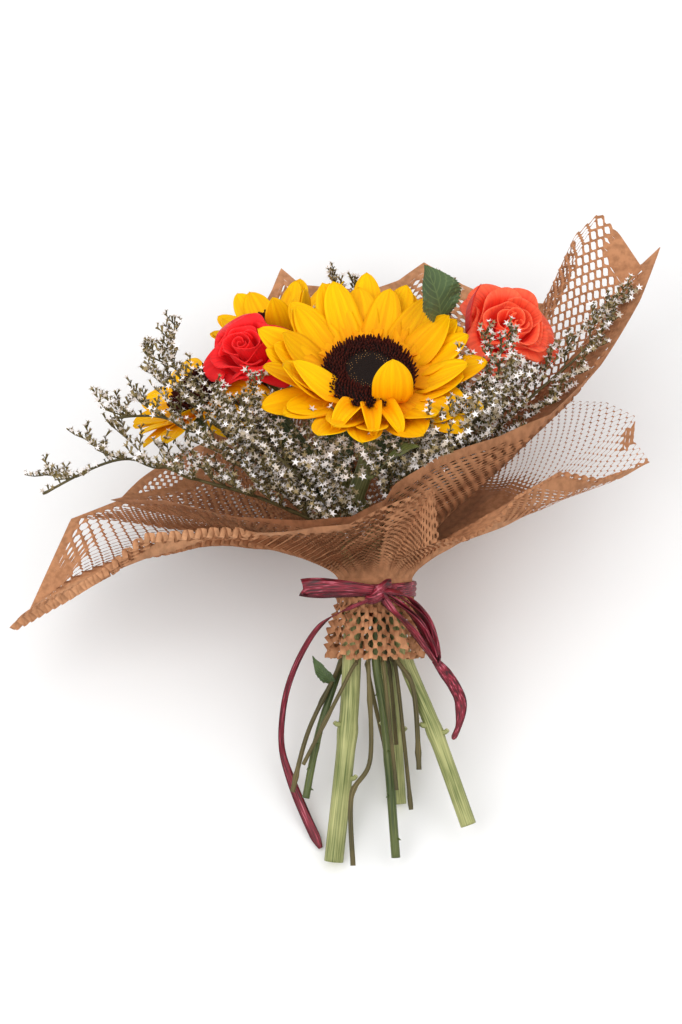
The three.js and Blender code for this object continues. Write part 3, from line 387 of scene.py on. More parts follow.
# %% Patterns for finishes
class Finish(Shader):
    """A shader with the patterns that this bouquet needs."""
    def place(self, stretch=(1, 1, 1), source="Object"):
        coordinates = self.node("ShaderNodeTexCoord")
        mapping = self.node("ShaderNodeMapping")
        mapping.inputs["Scale"].default_value = stretch
        self.link(coordinates.outputs[source], mapping.inputs["Vector"])
        return mapping.outputs["Vector"]

    def noise(self, scale, stretch=(1, 1, 1), source="Object", detail=3.0):
        made = self.node("ShaderNodeTexNoise")
        made.inputs["Scale"].default_value = scale
        made.inputs["Detail"].default_value = detail
        self.link(self.place(stretch, source), made.inputs["Vector"])
        return made.outputs["Fac"]

    def tint(self):
        """The shade that the gatherer gave each point."""
        return self.node("ShaderNodeAttribute", attribute_name="tint").outputs["Fac"]

    def across_and_along(self):
        """The two coordinates of the uv map."""
        parts = self.node("ShaderNodeSeparateXYZ")
        self.link(self.place(source="UV"), parts.inputs[0])
        return parts.outputs["X"], parts.outputs["Y"]

    def reckon(self, operation, *values):
        """One arithmetic step on values and plain numbers."""
        made = self.node("ShaderNodeMath", operation=operation)
        for socket, value in zip(made.inputs, values):
            self.feed(socket, value)
        return made.outputs[0]

    def ramp(self, value, stops):
        """A colour for each value: stops are (position, colour)."""
        made = self.node("ShaderNodeValToRGB")
        elements = made.color_ramp.elements
        for n, (at, colour) in enumerate(stops):
            element = elements[n] if n < 2 else elements.new(at)
            element.position = at
            element.color = colour
        self.link(value, made.inputs["Fac"])
        return made.outputs["Color"]

    def blend(self, factor, a, b, mode="MIX"):
        made = self.node("ShaderNodeMix", data_type="RGBA", blend_type=mode)
        for number, value in ((0, factor), (6, a), (7, b)):  # the sockets for colours
            self.feed(made.inputs[number], value)
        return made.outputs[2]

    def layered(self, *colours):
        """The colours multiplied with each other, as thin layers of paint on white."""
        base = colours[0]
        for colour in colours[1:]:
            base = self.blend(1.0, base, colour, "MULTIPLY")
        return base


print("a finish can", ", ".join(name for name in vars(Finish) if not name.startswith("_")))

# %% [markdown]
# Raffia is a flat shiny leaf strip with fine lengthwise fibres and lighter creases. Hair strands
# could stand for the fibres, but at this size they are only streaks, so a noise stretched along
# the strip gives both their colour and a shallow relief. Its palest streaks are a painted
# highlight, as well as the fibres' own paler tone.

# %% Raffia finish
raffia = Finish("burgundy_raffia", rough=0.42, sheen=0.02, specular=0.5)
strand = raffia.noise(1.0, (17, 3, 1), "UV", 4)
# the palest stop is a painted highlight on the streaks, and partly the fibres' paler tone
raffia.colour(raffia.ramp(strand, [(0.36, srgb(58, 3, 14)), (0.5, srgb(116, 10, 32)),
                                   (0.58, srgb(146, 26, 50)), (0.7, srgb(206, 112, 128))]))
raffia.relief(strand, 0.0009)
print("raffia finish made")

# %% [markdown]
# The ribbon's loose ends, its loops and its knot are all one kind of strip: flat, a little hollow
# and creased. A bevelled curve would make a strip of one section only. Here a section of eight
# points is carried along the path and its creases wander, so that it looks folded by hand.

# %% A flat strap along a path
SECTION = [(-1, 0), (-0.6, 0.5), (-0.15, 0.15), (0.35, 0.6), (1, 0), (0.35, -0.2), (-0.15, -0.6),
           (-0.6, -0.1)]


def strap(gather, path, width, thick, across, steps, profile, folds=2.0, seed=0):
    """Across gives the direction of the strip's width and profile its share of width, over t 0..1."""
    t = np.linspace(0, 1, steps + 1)
    middle = spline(path, t)
    along = unit(np.gradient(middle, axis=0))
    side = np.stack([np.asarray(across(x), float) for x in t])
    side = unit(side - along * (side * along).sum(1, keepdims=True))
    up = np.cross(along, side)
    half = width / 2 * np.array([profile(x) for x in t])
    rings = []
    for k, (x, y) in enumerate(SECTION):
        crease = 1 + 0.35 * np.sin(t * 37 + k * 1.3 + seed)
        rings.append(middle + side * (x * half)[:, None] + up * (y * thick * crease)[:, None])
    points = np.stack(rings, 1)
    n = len(SECTION)
    faces = [[i * n + k, i * n + (k + 1) % n, (i + 1) * n + (k + 1) % n, (i + 1) * n + k]
             for i in range(steps) for k in range(n)]
    uv = np.stack(np.broadcast_arrays(np.arange(n)[None, :] / n, t[:, None] * folds), -1)
    gather.add(points, faces, uv)
    for ring, order in ((points[0], 1), (points[steps], -1)):
        fan = [[k, (k + 1) % n, n][::order] for k in range(n)]
        gather.add(np.vstack([ring, ring.mean(0)]), fan, np.full((n + 1, 2), 0.3))


print("a strap has", len(SECTION), "points round it")

# %% [markdown]
# Two ends of the ribbon hang loose below the tie: a long one on the left, and a short broad one
# that leaves the loops on the right. They come before the flowers, because a free cord's length and
# place are checked. Their points are given, the same as in the solids, and one smooth curve runs
# through them.

# %% Loose ends of the tie
TAIL_LEFT = [[-4.1, 29.6, -6.1], [-20, 28, -12.5], [-35, 22, -22], [-47, 13, -40], [-56, 4, -62],
             [-60, -4, -84], [-60, -12, -104], [-54, -11, -124], [-44, -8, -148], [-35, -5.5, -167]]
TAIL_RIGHT = [[38.3, 21.4, -44.5], [45, 17.5, -53], [51, 14, -62], [55, 11, -72], [54, 9, -86],
              [50, 8, -96]]


def tail(name, node, path, width, middle_width, end_width):
    """A loose end of the tie; its middle and its end are given as shares of the width."""
    def share(t):
        wide = middle_width - 0.06 * t + (end_width - middle_width) * float(smooth(0.62, 0.86, t))
        wide = wide * (0.62 + 0.38 * float(smooth(0, 0.22, t)))
        return wide * (1 - 0.6 * max(0, t - 0.95) / 0.05)

    gather = Gather()
    strap(gather, path, width, 0.55, lambda t: [0.85, 0.1, 0.45], 90, share, 4)
    made = close_up(gather.piece(name, [raffia.material]), weld=1e-5)
    stand_for(made, [node], "raffia_burgundy")


tail("raffia_tail_left", "ribbon_tail_left", TAIL_LEFT, 5.0, 0.82, 1.4)
tail("raffia_tail_right", "ribbon_tail_right", TAIL_RIGHT, 7.0, 1.15, 0.6)

# %% [markdown]
# The tie itself is the same strip wound twice round the paper's neck, with a knot in front, a flat
# loop on the left, and a fan of strands with another loop on the right. Cloth simulation could fold
# it, but the shape would change with every setting. So each loop is one strap that leaves the knot,
# turns and comes back.

# %% Tie with its knot and loops
NECK_INNER, NECK_OUTER = 22.6, 24.15  # radii of the two sheets at the tie
RING = NECK_OUTER + 0.5 + 0.35 + 0.2
TURN_SECTION = [(0, -1), (0.9, -0.92), (1.35, -0.45), (0.95, -0.05), (1.4, 0.4), (0.95, 0.95), (0, 1),
                (-0.1, 0)]
TURN_SIDES = 96


def wound_turn(gather, radius, height, phase, wide):
    """One turn of raffia round the neck, creased and a little aslant."""
    a = np.linspace(0, 2 * math.pi, TURN_SIDES, endpoint=False)
    rings = []
    for k, (r, z) in enumerate(TURN_SECTION):
        rho = radius + r * (1 + 0.3 * np.sin(11 * a + 1.7 * k))
        level = height + z * wide + 1.2 * np.sin(a + phase)
        rings.append(np.stack([rho * np.cos(a), rho * np.sin(a), level], -1))
    n = len(TURN_SECTION)
    faces = [[i * n + k, j * n + k, j * n + (k + 1) % n, i * n + (k + 1) % n]
             for i, j in ((i, (i + 1) % TURN_SIDES) for i in range(TURN_SIDES)) for k in range(n)]
    uv = np.stack(np.broadcast_arrays(np.arange(n)[None, :] / n, a[:, None] * 1.2), -1)
    gather.add(np.stack(rings, 1), faces, uv)


def swell(low, more, power=1):
    """A strap's share of width: low at both ends and more in the middle."""
    return lambda t: low + more * math.sin(math.pi * t) ** power


tie = Gather()
wound_turn(tie, RING, -1.4, 0.4, 3.4)
wound_turn(tie, RING + 0.2, 1.6, 2.1, 3.2)
KNOT = [[-6, RING + 1.5, -4], [-2, RING + 5.5, -4], [3, RING + 7.2, -1], [7, RING + 4, 3],
        [10, RING + 0.5, 4]]
strap(tie, KNOT, 9, 1.5, lambda t: [0.1, -0.3 + 0.5 * t, 1], 20, swell(0.8, 0.35), 1.0, 3)
LEFT_LOOP = [[2, RING + 4, 0], [-16, RING + 7.5, 2.5], [-34, RING + 5, 3.5], [-46, RING + 1, 2],
             [-35, RING - 1, 0], [-16, RING + 2, 0], [0, RING + 3, -1]]
strap(tie, LEFT_LOOP, 9.5, 0.8, lambda t: [0.1, 0.35, 0.93], 48, swell(0.72, 0.5, 2), 3.0, 1)
for shift, wide in ((-4.0, 9.5), (0.5, 9.5), (4.5, 9.0)):  # strands of the right-hand fan
    strand_path = [[2, RING + 4.5, 1], [14 + shift, RING + 7, -7 + shift],
                   [26 + shift, RING + 4.5, -19 + shift],
                   [34 + shift * 0.7, RING + 1, -33 + shift * 0.6], [40, RING - 4, -48]]
    strap(tie, strand_path, wide, 0.9, lambda t: [0.6, 0.45, -0.3], 40, swell(0.6, 0.5), 2.0, shift)
RIGHT_LOOP = [[2, RING + 4, 1], [14, RING + 6, -3], [27, RING + 3, -13], [36, RING, -28], [38, RING - 3, -42],
              [34, RING - 1, -30], [26, RING + 5, -18], [12, RING + 6.5, -7], [0, RING + 5, -2]]
strap(tie, RIGHT_LOOP, 10.5, 0.9, lambda t: [0.55, 0.6, -0.3], 60, swell(0.75, 0.4, 2), 3.0, 5)
tie_piece = close_up(tie.piece("raffia_tie_wound", [raffia.material]), weld=1e-5)
stand_for(tie_piece, ["raffia_tie"], "raffia_burgundy")

# %% [markdown]
# The wrapper is two sheets of kraft paper, gathered at the neck and spread to a ragged rim. Cloth
# could be simulated into a collar, but it wouldn't meet the photographed outline. So each rim is a
# list of points given round the axis, and every line from the neck to the rim is one smooth curve.
# The outer sheet goes on below the tie as a short cuff. Where a sheet would go under the ground it
# is pressed flat on it.

# %% Rims and profile of the two sheets
CUFF, CUFF_INNER = 44, 14  # mm that each sheet goes on below the tie
CUFF_FLARE = 5.5  # mm, how much the cuff spreads toward its end
NECK = 8  # mm above the tie, where the sheets begin to spread
PAPER = 1.0  # mm, the thickness of the sheets' solids
SOFT = 12  # mm, over which a sheet bends into the flat of the ground
INNER_RIM = np.array([  # angle about the axis, distance from it, height
    [-167, 135, 67], [-158.5, 123, 78], [-150, 125, 111], [-139.5, 117, 158], [-129, 108, 198],
    [-125, 108, 213], [-119, 101, 202], [-105, 96, 200], [-91, 95, 199], [-80, 96, 205],
    [-70, 98, 217], [-56, 106, 202], [-43, 114, 191], [-29, 129, 188], [-21, 144, 215],
    [-19, 139, 232], [-15, 153, 247], [-10.5, 163, 231], [-7, 174, 211], [-4.5, 186, 223],
    [2, 171, 187], [12.5, 147, 144], [24, 121, 112], [37.5, 99, 98], [59, 79, 86],
    [74, 76, 74], [81.5, 77, 67], [85.5, 75, 58], [102, 75, 48], [124, 85, 45],
    [144, 106, 46.5], [163, 140, 58], [180, 171, 58]], float)
OUTER_RIM = np.array([  # the same, and how far the middle of the sheet crowns up
    [-178, 224, -14, 50], [-175, 198, 46, 10], [-170, 169, 58, 0], [-162, 162, 71, 0], [-149, 152, 88, 0],
    [-131, 148, 104, -4], [-112, 148, 110, -8], [-89, 150, 112, -8], [-72, 147, 114, -8], [-47, 136, 122, 0],
    [-27, 138, 124, 0], [-13.5, 155, 123, 0], [-6, 170, 113, 0], [-1.7, 167, 97, 0], [5, 177, 82, 0],
    [15, 148, 72, 0], [23, 127, 77, 0], [34, 109, 61, 0], [41, 103, 45, 0], [51, 94, 33, 0],
    [65, 89, 30, 0], [67.5, 92, 64, 0], [80, 87, 58, 0], [101, 86, 43, 0], [121, 93, 40, 0],
    [139, 109, 39, 0], [151, 127, 37, 0], [161.5, 157, 33, 10], [167, 180, 8, 30], [172, 200, -6, 40],
    [179, 234, -26, 60]], float)


def rim_at(rim, phi):
    return [np.interp(phi, rim[:, 0], column, period=360) for column in rim.T[1:]]


def to_ground(p, above):
    """Presses what would lie lower than the ground onto it, with a soft turn into the flat."""
    ground = -(TIE_HEIGHT + p[..., 2] * SIN) / COS + (PAPER / 2 + above) / COS
    x = p[..., 1] - ground
    y = np.where(x < -SOFT, 0, np.where(x > SOFT, x, (x + SOFT) ** 2 / (4 * SOFT)))
    return np.stack([p[..., 0], ground + y, p[..., 2]], -1)


def paper_at(outer, phi, s):
    """The sheet's middle surface: s runs from -1, the end of the cuff, over 0 at the neck to 1."""
    phi, s = np.broadcast_arrays(np.asarray(phi, float), np.asarray(s, float))
    low = np.maximum(-s, 0)
    if outer:
        neck, cuff, above = NECK_OUTER, CUFF, 0
        wide, high, crown = rim_at(OUTER_RIM, phi)
        first = (neck + 6, 16 + np.maximum(0, high) * 0.15 + 0.2 * crown)
        second = (0.62 * wide, 0.42 * high + 14 + crown)
        flare = CUFF_FLARE * np.maximum(0, low - 0.3) * (1.4 + 0.3 * np.sin(np.radians(phi * 7)))
    else:
        neck, cuff, above, flare = NECK_INNER, CUFF_INNER, 3.2, 0
        wide, high = rim_at(INNER_RIM, phi)
        first = (neck + 3, 22 + high * 0.12)
        second = (0.6 * wide + 10, 0.55 * high + 10)
    t = np.maximum(s, 0)
    q = 1 - t
    up_r = q ** 3 * neck + 3 * q * q * t * first[0] + 3 * q * t * t * second[0] + t ** 3 * wide
    up_w = q ** 3 * NECK + 3 * q * q * t * first[1] + 3 * q * t * t * second[1] + t ** 3 * high
    r = np.where(s <= 0, neck + flare, up_r)
    w = np.where(s <= 0, NECK - low * (cuff + NECK), up_w)
    return to_ground(np.stack([r * np.cos(np.radians(phi)), r * np.sin(np.radians(phi)), w], -1), above)


print("outer rim reaches", OUTER_RIM[:, 1].max(), "mm from the axis")

# %% [markdown]
# Kraft paper is brown and matt, cloudy from afar and full of short fibres up close. A picture of
# such paper would repeat itself over so large a sheet. So a broad noise gives the clouds and a fine
# one the fibres. The shade of each point is painted light: a lip of a slit that lifts is painted
# lighter, as a painted highlight, and the sunken lip darker, as painted shade.

# %% Kraft paper finish
kraft = Finish("kraft_paper", rough=0.88, specular=0.2)
cloudy = kraft.noise(9.0, detail=4)
fibre = kraft.noise(260.0, (1, 1, 0.35), detail=5)
paper_brown = kraft.ramp(cloudy, [(0.3, srgb(186, 130, 92)), (0.55, srgb(204, 148, 108)),
                                  (0.75, srgb(222, 168, 126))])
flecks = kraft.ramp(fibre, [(0.35, srgb(220, 218, 216)), (0.6, WHITE)])
# painted light: the shade of each point paints a lifted lip lighter and a sunken lip darker
lips = kraft.ramp(kraft.tint(), [(0.0, srgb(196, 180, 168)), (0.5, srgb(240, 238, 236)), (1.0, WHITE)])
kraft.colour(kraft.layered(paper_brown, flecks, lips))
kraft.relief(fibre, 0.0004, 0.8)
print("kraft finish made")

# %% [markdown]
# No two parts of the wrapper look alike: the near wall is half open, the torn corners stand wide
# open, and the right side is nearly plain. Weights could be painted on the mesh by hand. Here each
# region is a range of angles round the axis, because such a range is easy to shift by a degree. One
# function says how far an angle lies in a range, and another gives the creases of handled paper.

# %% Masks and creases over a sheet
def within(phi, low, high, soft):
    """1 for angles between low and high, falling off over soft degrees on both sides."""
    span = (high - low) % 360
    x = (np.asarray(phi, float) - low) % 360
    x = np.where(x > 180 + span / 2, x - 360, x)
    return smooth(-soft, 0, x) * (1 - smooth(span, span + soft, x))


def wrinkles(phi, s, seed):
    """Soft creases of handled paper, in mm along the sheet's normal."""
    total = 0
    for k, (f, g, size) in enumerate([(3, 2.1, 1.1), (7, 3.7, 0.9), (13, 6.1, 0.6), (23, 9.5, 0.35)]):
        round_it = np.sin(np.radians(phi) * f + g * s * 3 + seed * (k + 1))
        total = total + size * round_it * np.cos(g * s * 2.3 + seed - k)
    return total


print("a mask at its middle", within(0, -10, 10, 5))

# %% [markdown]
# The paper has staggered rows of slits. When such a sheet is pulled, every slit opens to a
# six-sided cell and the strips between them tilt like slats. The cells could be a painted pattern,
# but the open ones show the ground and the slats catch light on one edge, so they are real here.
# First come the places of the slits on the closed sheet. Every cell is equally wide at the rim, and
# a row is a given number of mm high there; toward the neck the rows crowd together.

# %% Columns and rows of slits on the closed sheet
STEPS_PER_ROW = 3


def columns_round(outer, end, cells, bar, sparse):
    """Four lines of points for each cell: their number along the rim, and their angle."""
    turn = np.linspace(-180, 180, 1441)  # quarter degrees
    ring = paper_at(outer, turn, 0.75 * end)
    gaps = np.linalg.norm(np.diff(ring, axis=0), axis=1)
    if sparse is not None:
        gaps = gaps * sparse(turn[1:])
    run = np.concatenate([[0], np.cumsum(gaps)])
    half = bar / 2
    lines = [np.arange(cells) + d for d in (-half, half, 0.5 - half, 0.5 + half)]
    xs = np.sort(np.concatenate(lines) % cells)
    return xs, np.interp(xs / cells, run / run[-1], turn)


class Rows:
    """The rows on one sheet: points, outward directions and shares of the way from neck to rim."""
    def __init__(self, outer, end, phi, rows, tall, crease):
        self.last = rows * STEPS_PER_ROW
        s = np.linspace(0.0, end, 161)
        line = paper_at(outer, phi[:, None], s[None, :])
        step = np.cumsum(np.linalg.norm(np.diff(line, axis=1), axis=2), 1)
        step = np.concatenate([np.zeros((len(phi), 1)), step], 1)
        self.length = step[:, -1]
        power = np.clip(tall * rows / step[:, -1:], 0.9, 3.2)
        self.share = (np.linspace(0, 1, self.last + 1)[None, :]) ** power
        even = np.stack([np.interp(f * d[-1], d, s) for f, d in zip(self.share, step)])
        flat = paper_at(outer, phi[:, None], even)
        beside = np.roll(flat, -1, 0) - np.roll(flat, 1, 0)
        self.outward = unit(np.cross(beside, np.gradient(flat, axis=1)))
        self.points = flat + self.outward * crease(phi[:, None], even)[..., None]

    def at(self, row):
        """The sheet at one row number for each column; it may lie between two rows."""
        k = np.clip(row * STEPS_PER_ROW, 0, self.last)
        i = np.minimum(k.astype(int), self.last - 1)
        f = (k - i)[:, None]
        column = np.arange(len(i))
        p = self.points[column, i] * (1 - f) + self.points[column, i + 1] * f
        outward = unit(self.outward[column, i] * (1 - f) + self.outward[column, i + 1] * f)
        part = self.share[column, i] * (1 - f[:, 0]) + self.share[column, i + 1] * f[:, 0]
        return p, outward, part


print("60 cells have", len(columns_round(False, 1.0, 60, 0.2, None)[0]), "lines of points")

# %% [markdown]
# Now each row becomes a zigzag strip of paper. Its two edges are drawn apart where a slit opens and
# stay joined to the next strip between the slits, and each lip lifts off the sheet. How far a cell
# opens, how much its lips lift and where small tabs stand up are functions of the place, so one
# helper serves both sheets and their cuffs.

# %% Strips of paper between the slits
def lattice(gather, outer, end, cells, rows, tall, opening, lift, crease, bar=0.2, tabs=None, ragged=None,
            sparse=None):
    """Fills a sheet, from the neck to its end, with strips. Tall is a row's height at the rim in mm,
    bar the share of a cell's width where strips are joined, ragged where the last row is torn."""
    xs, phi = columns_round(outer, end, cells, bar, sparse)
    sheet = Rows(outer, end, phi, rows, tall, crease)
    n, place = len(xs), xs % 1.0

    def edge(strip, row, way):
        """The points and painted shades of a strip's edge: way is 1 on its lower side, sunken and painted
        darker, and -1 on its upper, lifted and painted lighter.
        """
        beside = np.abs((place - (0.0 if row % 2 == 0 else 0.5) + 0.5) % 1.0 - 0.5) < 0.25
        free = np.zeros(n) if row == 0 else beside.astype(float)
        if row == rows:
            free = free * (0 if ragged is None else ragged(phi))
        part = sheet.at(np.full(n, float(row)))[2]
        rim = sheet.length * (1 - part)
        p, outward, part = sheet.at(row + way * 0.5 * opening(phi, part, rim) * free)
        high = lift(phi, part, rim)
        p = p - outward * (way * high * free)[:, None]
        if tabs is not None:
            flip = np.where(np.abs(place - 0.5) < 0.25, 1.0, -1.0) * (1 if strip % 2 else -1)
            p = p + outward * (tabs(phi, part, rim) * flip)[:, None]
        # painted light: the sunken lip of a slit gets painted shade, the lifted one a painted highlight
        return p, 0.5 - 0.5 * way * free * np.minimum(1, high)

    k = np.arange(n)
    following = (k + 1) % n
    faces = np.stack([k, following, n + following, n + k], 1)
    for j in range(rows):
        (lower, lower_painted_light), (upper, upper_painted_light) = edge(j, j, 1), edge(j, j + 1, -1)
        uv = np.stack([np.tile(xs, 2), np.repeat([j, j + 1], n)], -1)
        gather.add(np.concatenate([lower, upper]), faces, uv, np.concatenate([lower_painted_light, upper_painted_light]))


print("helper ready:", lattice.__name__)

# %% [markdown]
# The outer sheet is pulled wide open in the net at its lower right corner and in the long tongue
# that lies on the left. Its near wall has broader cells that are half open, its right side is nearly
# plain, and a band along the rim isn't cut. At the near left its edge is folded to an accordion of
# small squares. The cells could be placed by hand, but there are thousands. So each of these is a
# term of its own below, over the angle and the distance from the rim.

# %% How the outer sheet opens, lifts and folds
def plain_parts(phi, part):
    """1 where the outer sheet is left uncut: the tongue's tip, and the right side near the neck."""
    tip = within(phi, 160, 177, 2) * smooth(0.64, 0.7, part)
    far_tip = within(phi, 174, -177, 2) * smooth(0.84, 0.88, part)
    right_side = within(phi, -40, 20, 6) * (1 - smooth(0.46, 0.56, part))
    return np.maximum(np.maximum(tip, far_tip), right_side)


def outer_opening(phi, part, rim):
    """How far a slit of the outer sheet opens, in rows."""
    net = within(phi, -24, 8, 5) * smooth(0.5, 0.62, part)
    tongue = within(phi, 178, -165, 4) * smooth(0.4, 0.5, part) * smooth(6, 10, rim)
    front = within(phi, 84, 160, 5)
    value = 0.42 + 0.26 * front - 0.32 * within(phi, -40, 82, 5)
    value = value + (1.68 - value) * net + (1.3 - value) * tongue
    value = value * smooth(0.04 + 0.2 * front, 0.3 + 0.12 * front, part) * (1 - plain_parts(phi, part))
    scrap = within(phi, -4.5, -1.5, 0.8) * (1 - smooth(8, 13, rim))  # a closed scrap left in the net
    value = value * (1 - 0.9 * scrap)
    band = 5 + 17 * within(phi, 7, 38, 5) + 6 * within(phi, 104, 140, 5)  # its width, in mm
    return value * (1 - (1 - smooth(band, band + 4, rim)) * (1 - within(phi, -24, 3, 2)))


def outer_lift(phi, part, rim):
    """How far the lips of a slit stand off the outer sheet, in mm."""
    net = within(phi, -24, 8, 5) * smooth(0.45, 0.6, part)
    value = 1.25 - 0.9 * within(phi, -40, 82, 5) - 0.5 * within(phi, 84, 160, 5)
    value = value * (1 - 0.75 * net) * smooth(0, 0.25, part) * (1 - plain_parts(phi, part))
    band = 4 + 15 * within(phi, 7, 38, 5) + 6 * within(phi, 104, 140, 5)
    return value * smooth(band, band + 5, rim)


def outer_tabs(phi, part, rim):
    """The accordion along the near left rim, and the small tabs that stand up in front."""
    left = 3.0 * within(phi, 141, 177, 5) * (1 - smooth(11, 15, rim))
    front = 1.5 * within(phi, 72, 98, 4) * smooth(2, 5, rim) * (1 - smooth(12, 16, rim))
    right = 0.9 * within(phi, 12, 64, 5) * (1 - smooth(4, 7, rim))
    return left + front + right


def outer_crease(phi, s):
    """Wrinkles that grow toward the rim, and narrow pleats where the sheet is gathered."""
    pleats = 1.2 * np.sin(np.radians(phi) * 26) * np.exp(-((s - 0.18) / 0.14) ** 2)
    return wrinkles(phi, s, 1.3) * smooth(0.1, 0.5, s) + pleats


print("at the net's middle a slit opens by", round(float(outer_opening(-10, 0.9, 20)), 2), "rows")

# %% [markdown]
# Below the tie the same sheet goes on as a short crushed cuff. Its few cells are larger, some
# nearly shut and others open, and the paper between them is crumpled. Waves of unlike lengths,
# laid over each other, look crushed enough and cost no simulation.

# %% How the cuff is crushed
def cuff_opening(phi, part, rim):
    """Crushed cells: some are nearly shut, others stand open."""
    a = np.radians(phi)
    crushed = np.sin(5 * a + 9 * part) * np.sin(11 * a - 6 * part + 1) + 0.5 * np.sin(23 * a + 17 * part)
    return np.clip(0.8 + 0.5 * crushed, 0.2, 1.15) * smooth(0.1, 0.35, part)


def cuff_lift(phi, part, rim):
    """How far the lips stand off the cuff, in mm."""
    return (1.7 + 1.2 * np.sin(np.radians(phi) * 8 + 5 * part)) * smooth(0.1, 0.4, part)


def cuff_crumple(phi, s):
    """Three waves of unlike lengths that grow toward the cuff's end, in mm."""
    a = np.radians(phi)
    waves = 2.3 * np.sin(9 * a + 4 * s) + 1.6 * np.sin(16 * a - 9 * s + 2) + 0.8 * np.sin(31 * a + 13 * s)
    return waves * smooth(0.15, 1, -s)


print("the cuff's lips lift up to", round(float(cuff_lift(np.arange(360.0), 1, 0).max()), 1), "mm")

# %% [markdown]
# Sheet and cuff are made as one piece of paper. It stays a thin skin with no thickness, because the
# edges of real paper this thin don't show. Points that coincide are welded, so that neighbouring
# strips hold together, and only sharp folds are shaded as edges.

# %% The outer sheet with its cuff
NECK_TO_RIM, NECK_TO_CUFF = 1.0, -1.0
WELD, FOLD_ANGLE = 2e-5, 25  # in metres and degrees

wrap_outer = Gather()
lattice(wrap_outer, True, NECK_TO_RIM, 168, 58, 3.7, outer_opening, outer_lift, outer_crease, bar=0.3,
        tabs=outer_tabs, ragged=lambda phi: within(phi, -24, 5, 2),
        sparse=lambda phi: 1 - 0.3 * within(phi, 80, 158, 12))
lattice(wrap_outer, True, NECK_TO_CUFF, 30, 10, 5.0, cuff_opening, cuff_lift, cuff_crumple, bar=0.36,
        ragged=lambda phi: 1.0)
outer_piece = close_up(wrap_outer.piece("paper_outer", [kraft.material]), weld=WELD, angle=FOLD_ANGLE)
stand_for(outer_piece, ["wrap_outer"], "kraft_paper")

# %% [markdown]
# The inner sheet stands higher, behind the flowers and at the upper right. It is of the same paper,
# but most of its slits are nearly shut, and only the torn right corner is a net. It could be a copy
# of the outer sheet on another rim, yet its plain band and its tabs sit elsewhere, so it has
# functions of its own.

# %% The inner sheet
def inner_opening(phi, part, rim):
    """How far a slit of the inner sheet opens, in rows."""
    net = within(phi, -26, -7, 4) * smooth(0.45, 0.6, part)
    shut = 0.3 - 0.14 * within(phi, 5, -130, 8) - 0.13 * within(phi, 60, 165, 8)
    value = shut + (0.98 - shut) * net
    value = value * smooth(0.04, 0.3, part)
    band = 8 + 10 * within(phi, -9, 30, 5)
    return value * (1 - (1 - smooth(band, band + 4, rim)) * (1 - within(phi, -22, -13, 2)))


def inner_lift(phi, part, rim):
    """How far the lips of a slit stand off the inner sheet, in mm."""
    net = within(phi, -26, -7, 4) * smooth(0.45, 0.6, part)
    value = 1.15 - 0.5 * net - 0.85 * within(phi, 5, 165, 8)
    band = 7 + 10 * within(phi, -9, 30, 5)
    return value * smooth(0, 0.25, part) * smooth(band, band + 5, rim)


def inner_tabs(phi, part, rim):
    """Folded tabs just inside the plain band of the right wing."""
    return within(phi, 8, 34, 4) * smooth(18, 21, rim) * (1 - smooth(28, 32, rim))


def inner_crease(phi, s):
    """Wrinkles that are deepest half way up and die down toward the rim."""
    return 0.9 * wrinkles(phi, s, 2.6) * smooth(0.15, 0.6, s) * (1 - 0.5 * smooth(0.8, 1, s))


def slightly(phi, part, rim):
    """The hidden cuff of the inner sheet opens and lifts the same small amount all over."""
    return 0.2 + 0 * part


wrap_inner = Gather()
lattice(wrap_inner, False, NECK_TO_RIM, 136, 50, 4.0, inner_opening, inner_lift, inner_crease,
        tabs=inner_tabs, ragged=lambda phi: within(phi, -22, -12, 2))
lattice(wrap_inner, False, NECK_TO_CUFF, 60, 3, 6.0, slightly, slightly, lambda phi, s: 0 * s)
inner_piece = close_up(wrap_inner.piece("paper_inner", [kraft.material]), weld=WELD, angle=FOLD_ANGLE)
stand_for(inner_piece, ["wrap_inner"], "kraft_paper")

# %% [markdown]
# A gathered sheet has a size when it is laid flat. The width of each sheet is an estimate.

# %% [markdown]
# A sunflower stalk is thick, pale and fibrous, a rose stalk is thin and dark, and statice has wiry
# brown twigs. All are streaked along their length. One recipe with other colours does for all of
# them: a streaky noise along the uv map, a cloudy one over it and a fine relief.

# %% Stalk finishes
def stalk_finish(name, dark, mid, light, rough=0.6):
    made = Finish(name, rough=rough, specular=0.35)
    streak = made.noise(1.0, (38, 2.2, 1), "UV", 4)
    cloud = made.noise(28.0, detail=3)
    body = made.ramp(streak, [(0.36, dark), (0.5, mid), (0.64, light)])
    made.colour(made.blend(0.3, body, made.ramp(cloud, [(0.4, dark), (0.6, light)])))
    made.relief(made.noise(420.0, (1, 1, 1), detail=2), 0.0004, 0.7)
    return made.material


pale_stalk = stalk_finish("sunflower_stalk", srgb(92, 104, 54), srgb(142, 146, 90), srgb(186, 184, 126))
cut_face = stalk_finish("cut_face", srgb(186, 184, 130), srgb(206, 204, 152), srgb(224, 222, 180))
dark_stalk = stalk_finish("rose_stalk", srgb(36, 46, 20), srgb(68, 84, 38), srgb(108, 112, 64), 0.45)
tan_stalk = stalk_finish("statice_stalk", srgb(44, 42, 22), srgb(76, 70, 38), srgb(122, 106, 64))
print("stalk finishes made")

# %% [markdown]
# Stems and twigs are tubes along the solids' curves, a little ribbed. The ribs are in the mesh,
# because they show on the outline of a stem. A curve with a ribbed section could do this too, but
# it has no hollow cut ends. So rings of points are carried along the path, and each ring keeps the
# direction of the one before, without a twist. A cut end is closed by a face with a hollow middle.

# %% Tubes along a path
STREAKS = 60  # mm of a stalk for one length of its finish


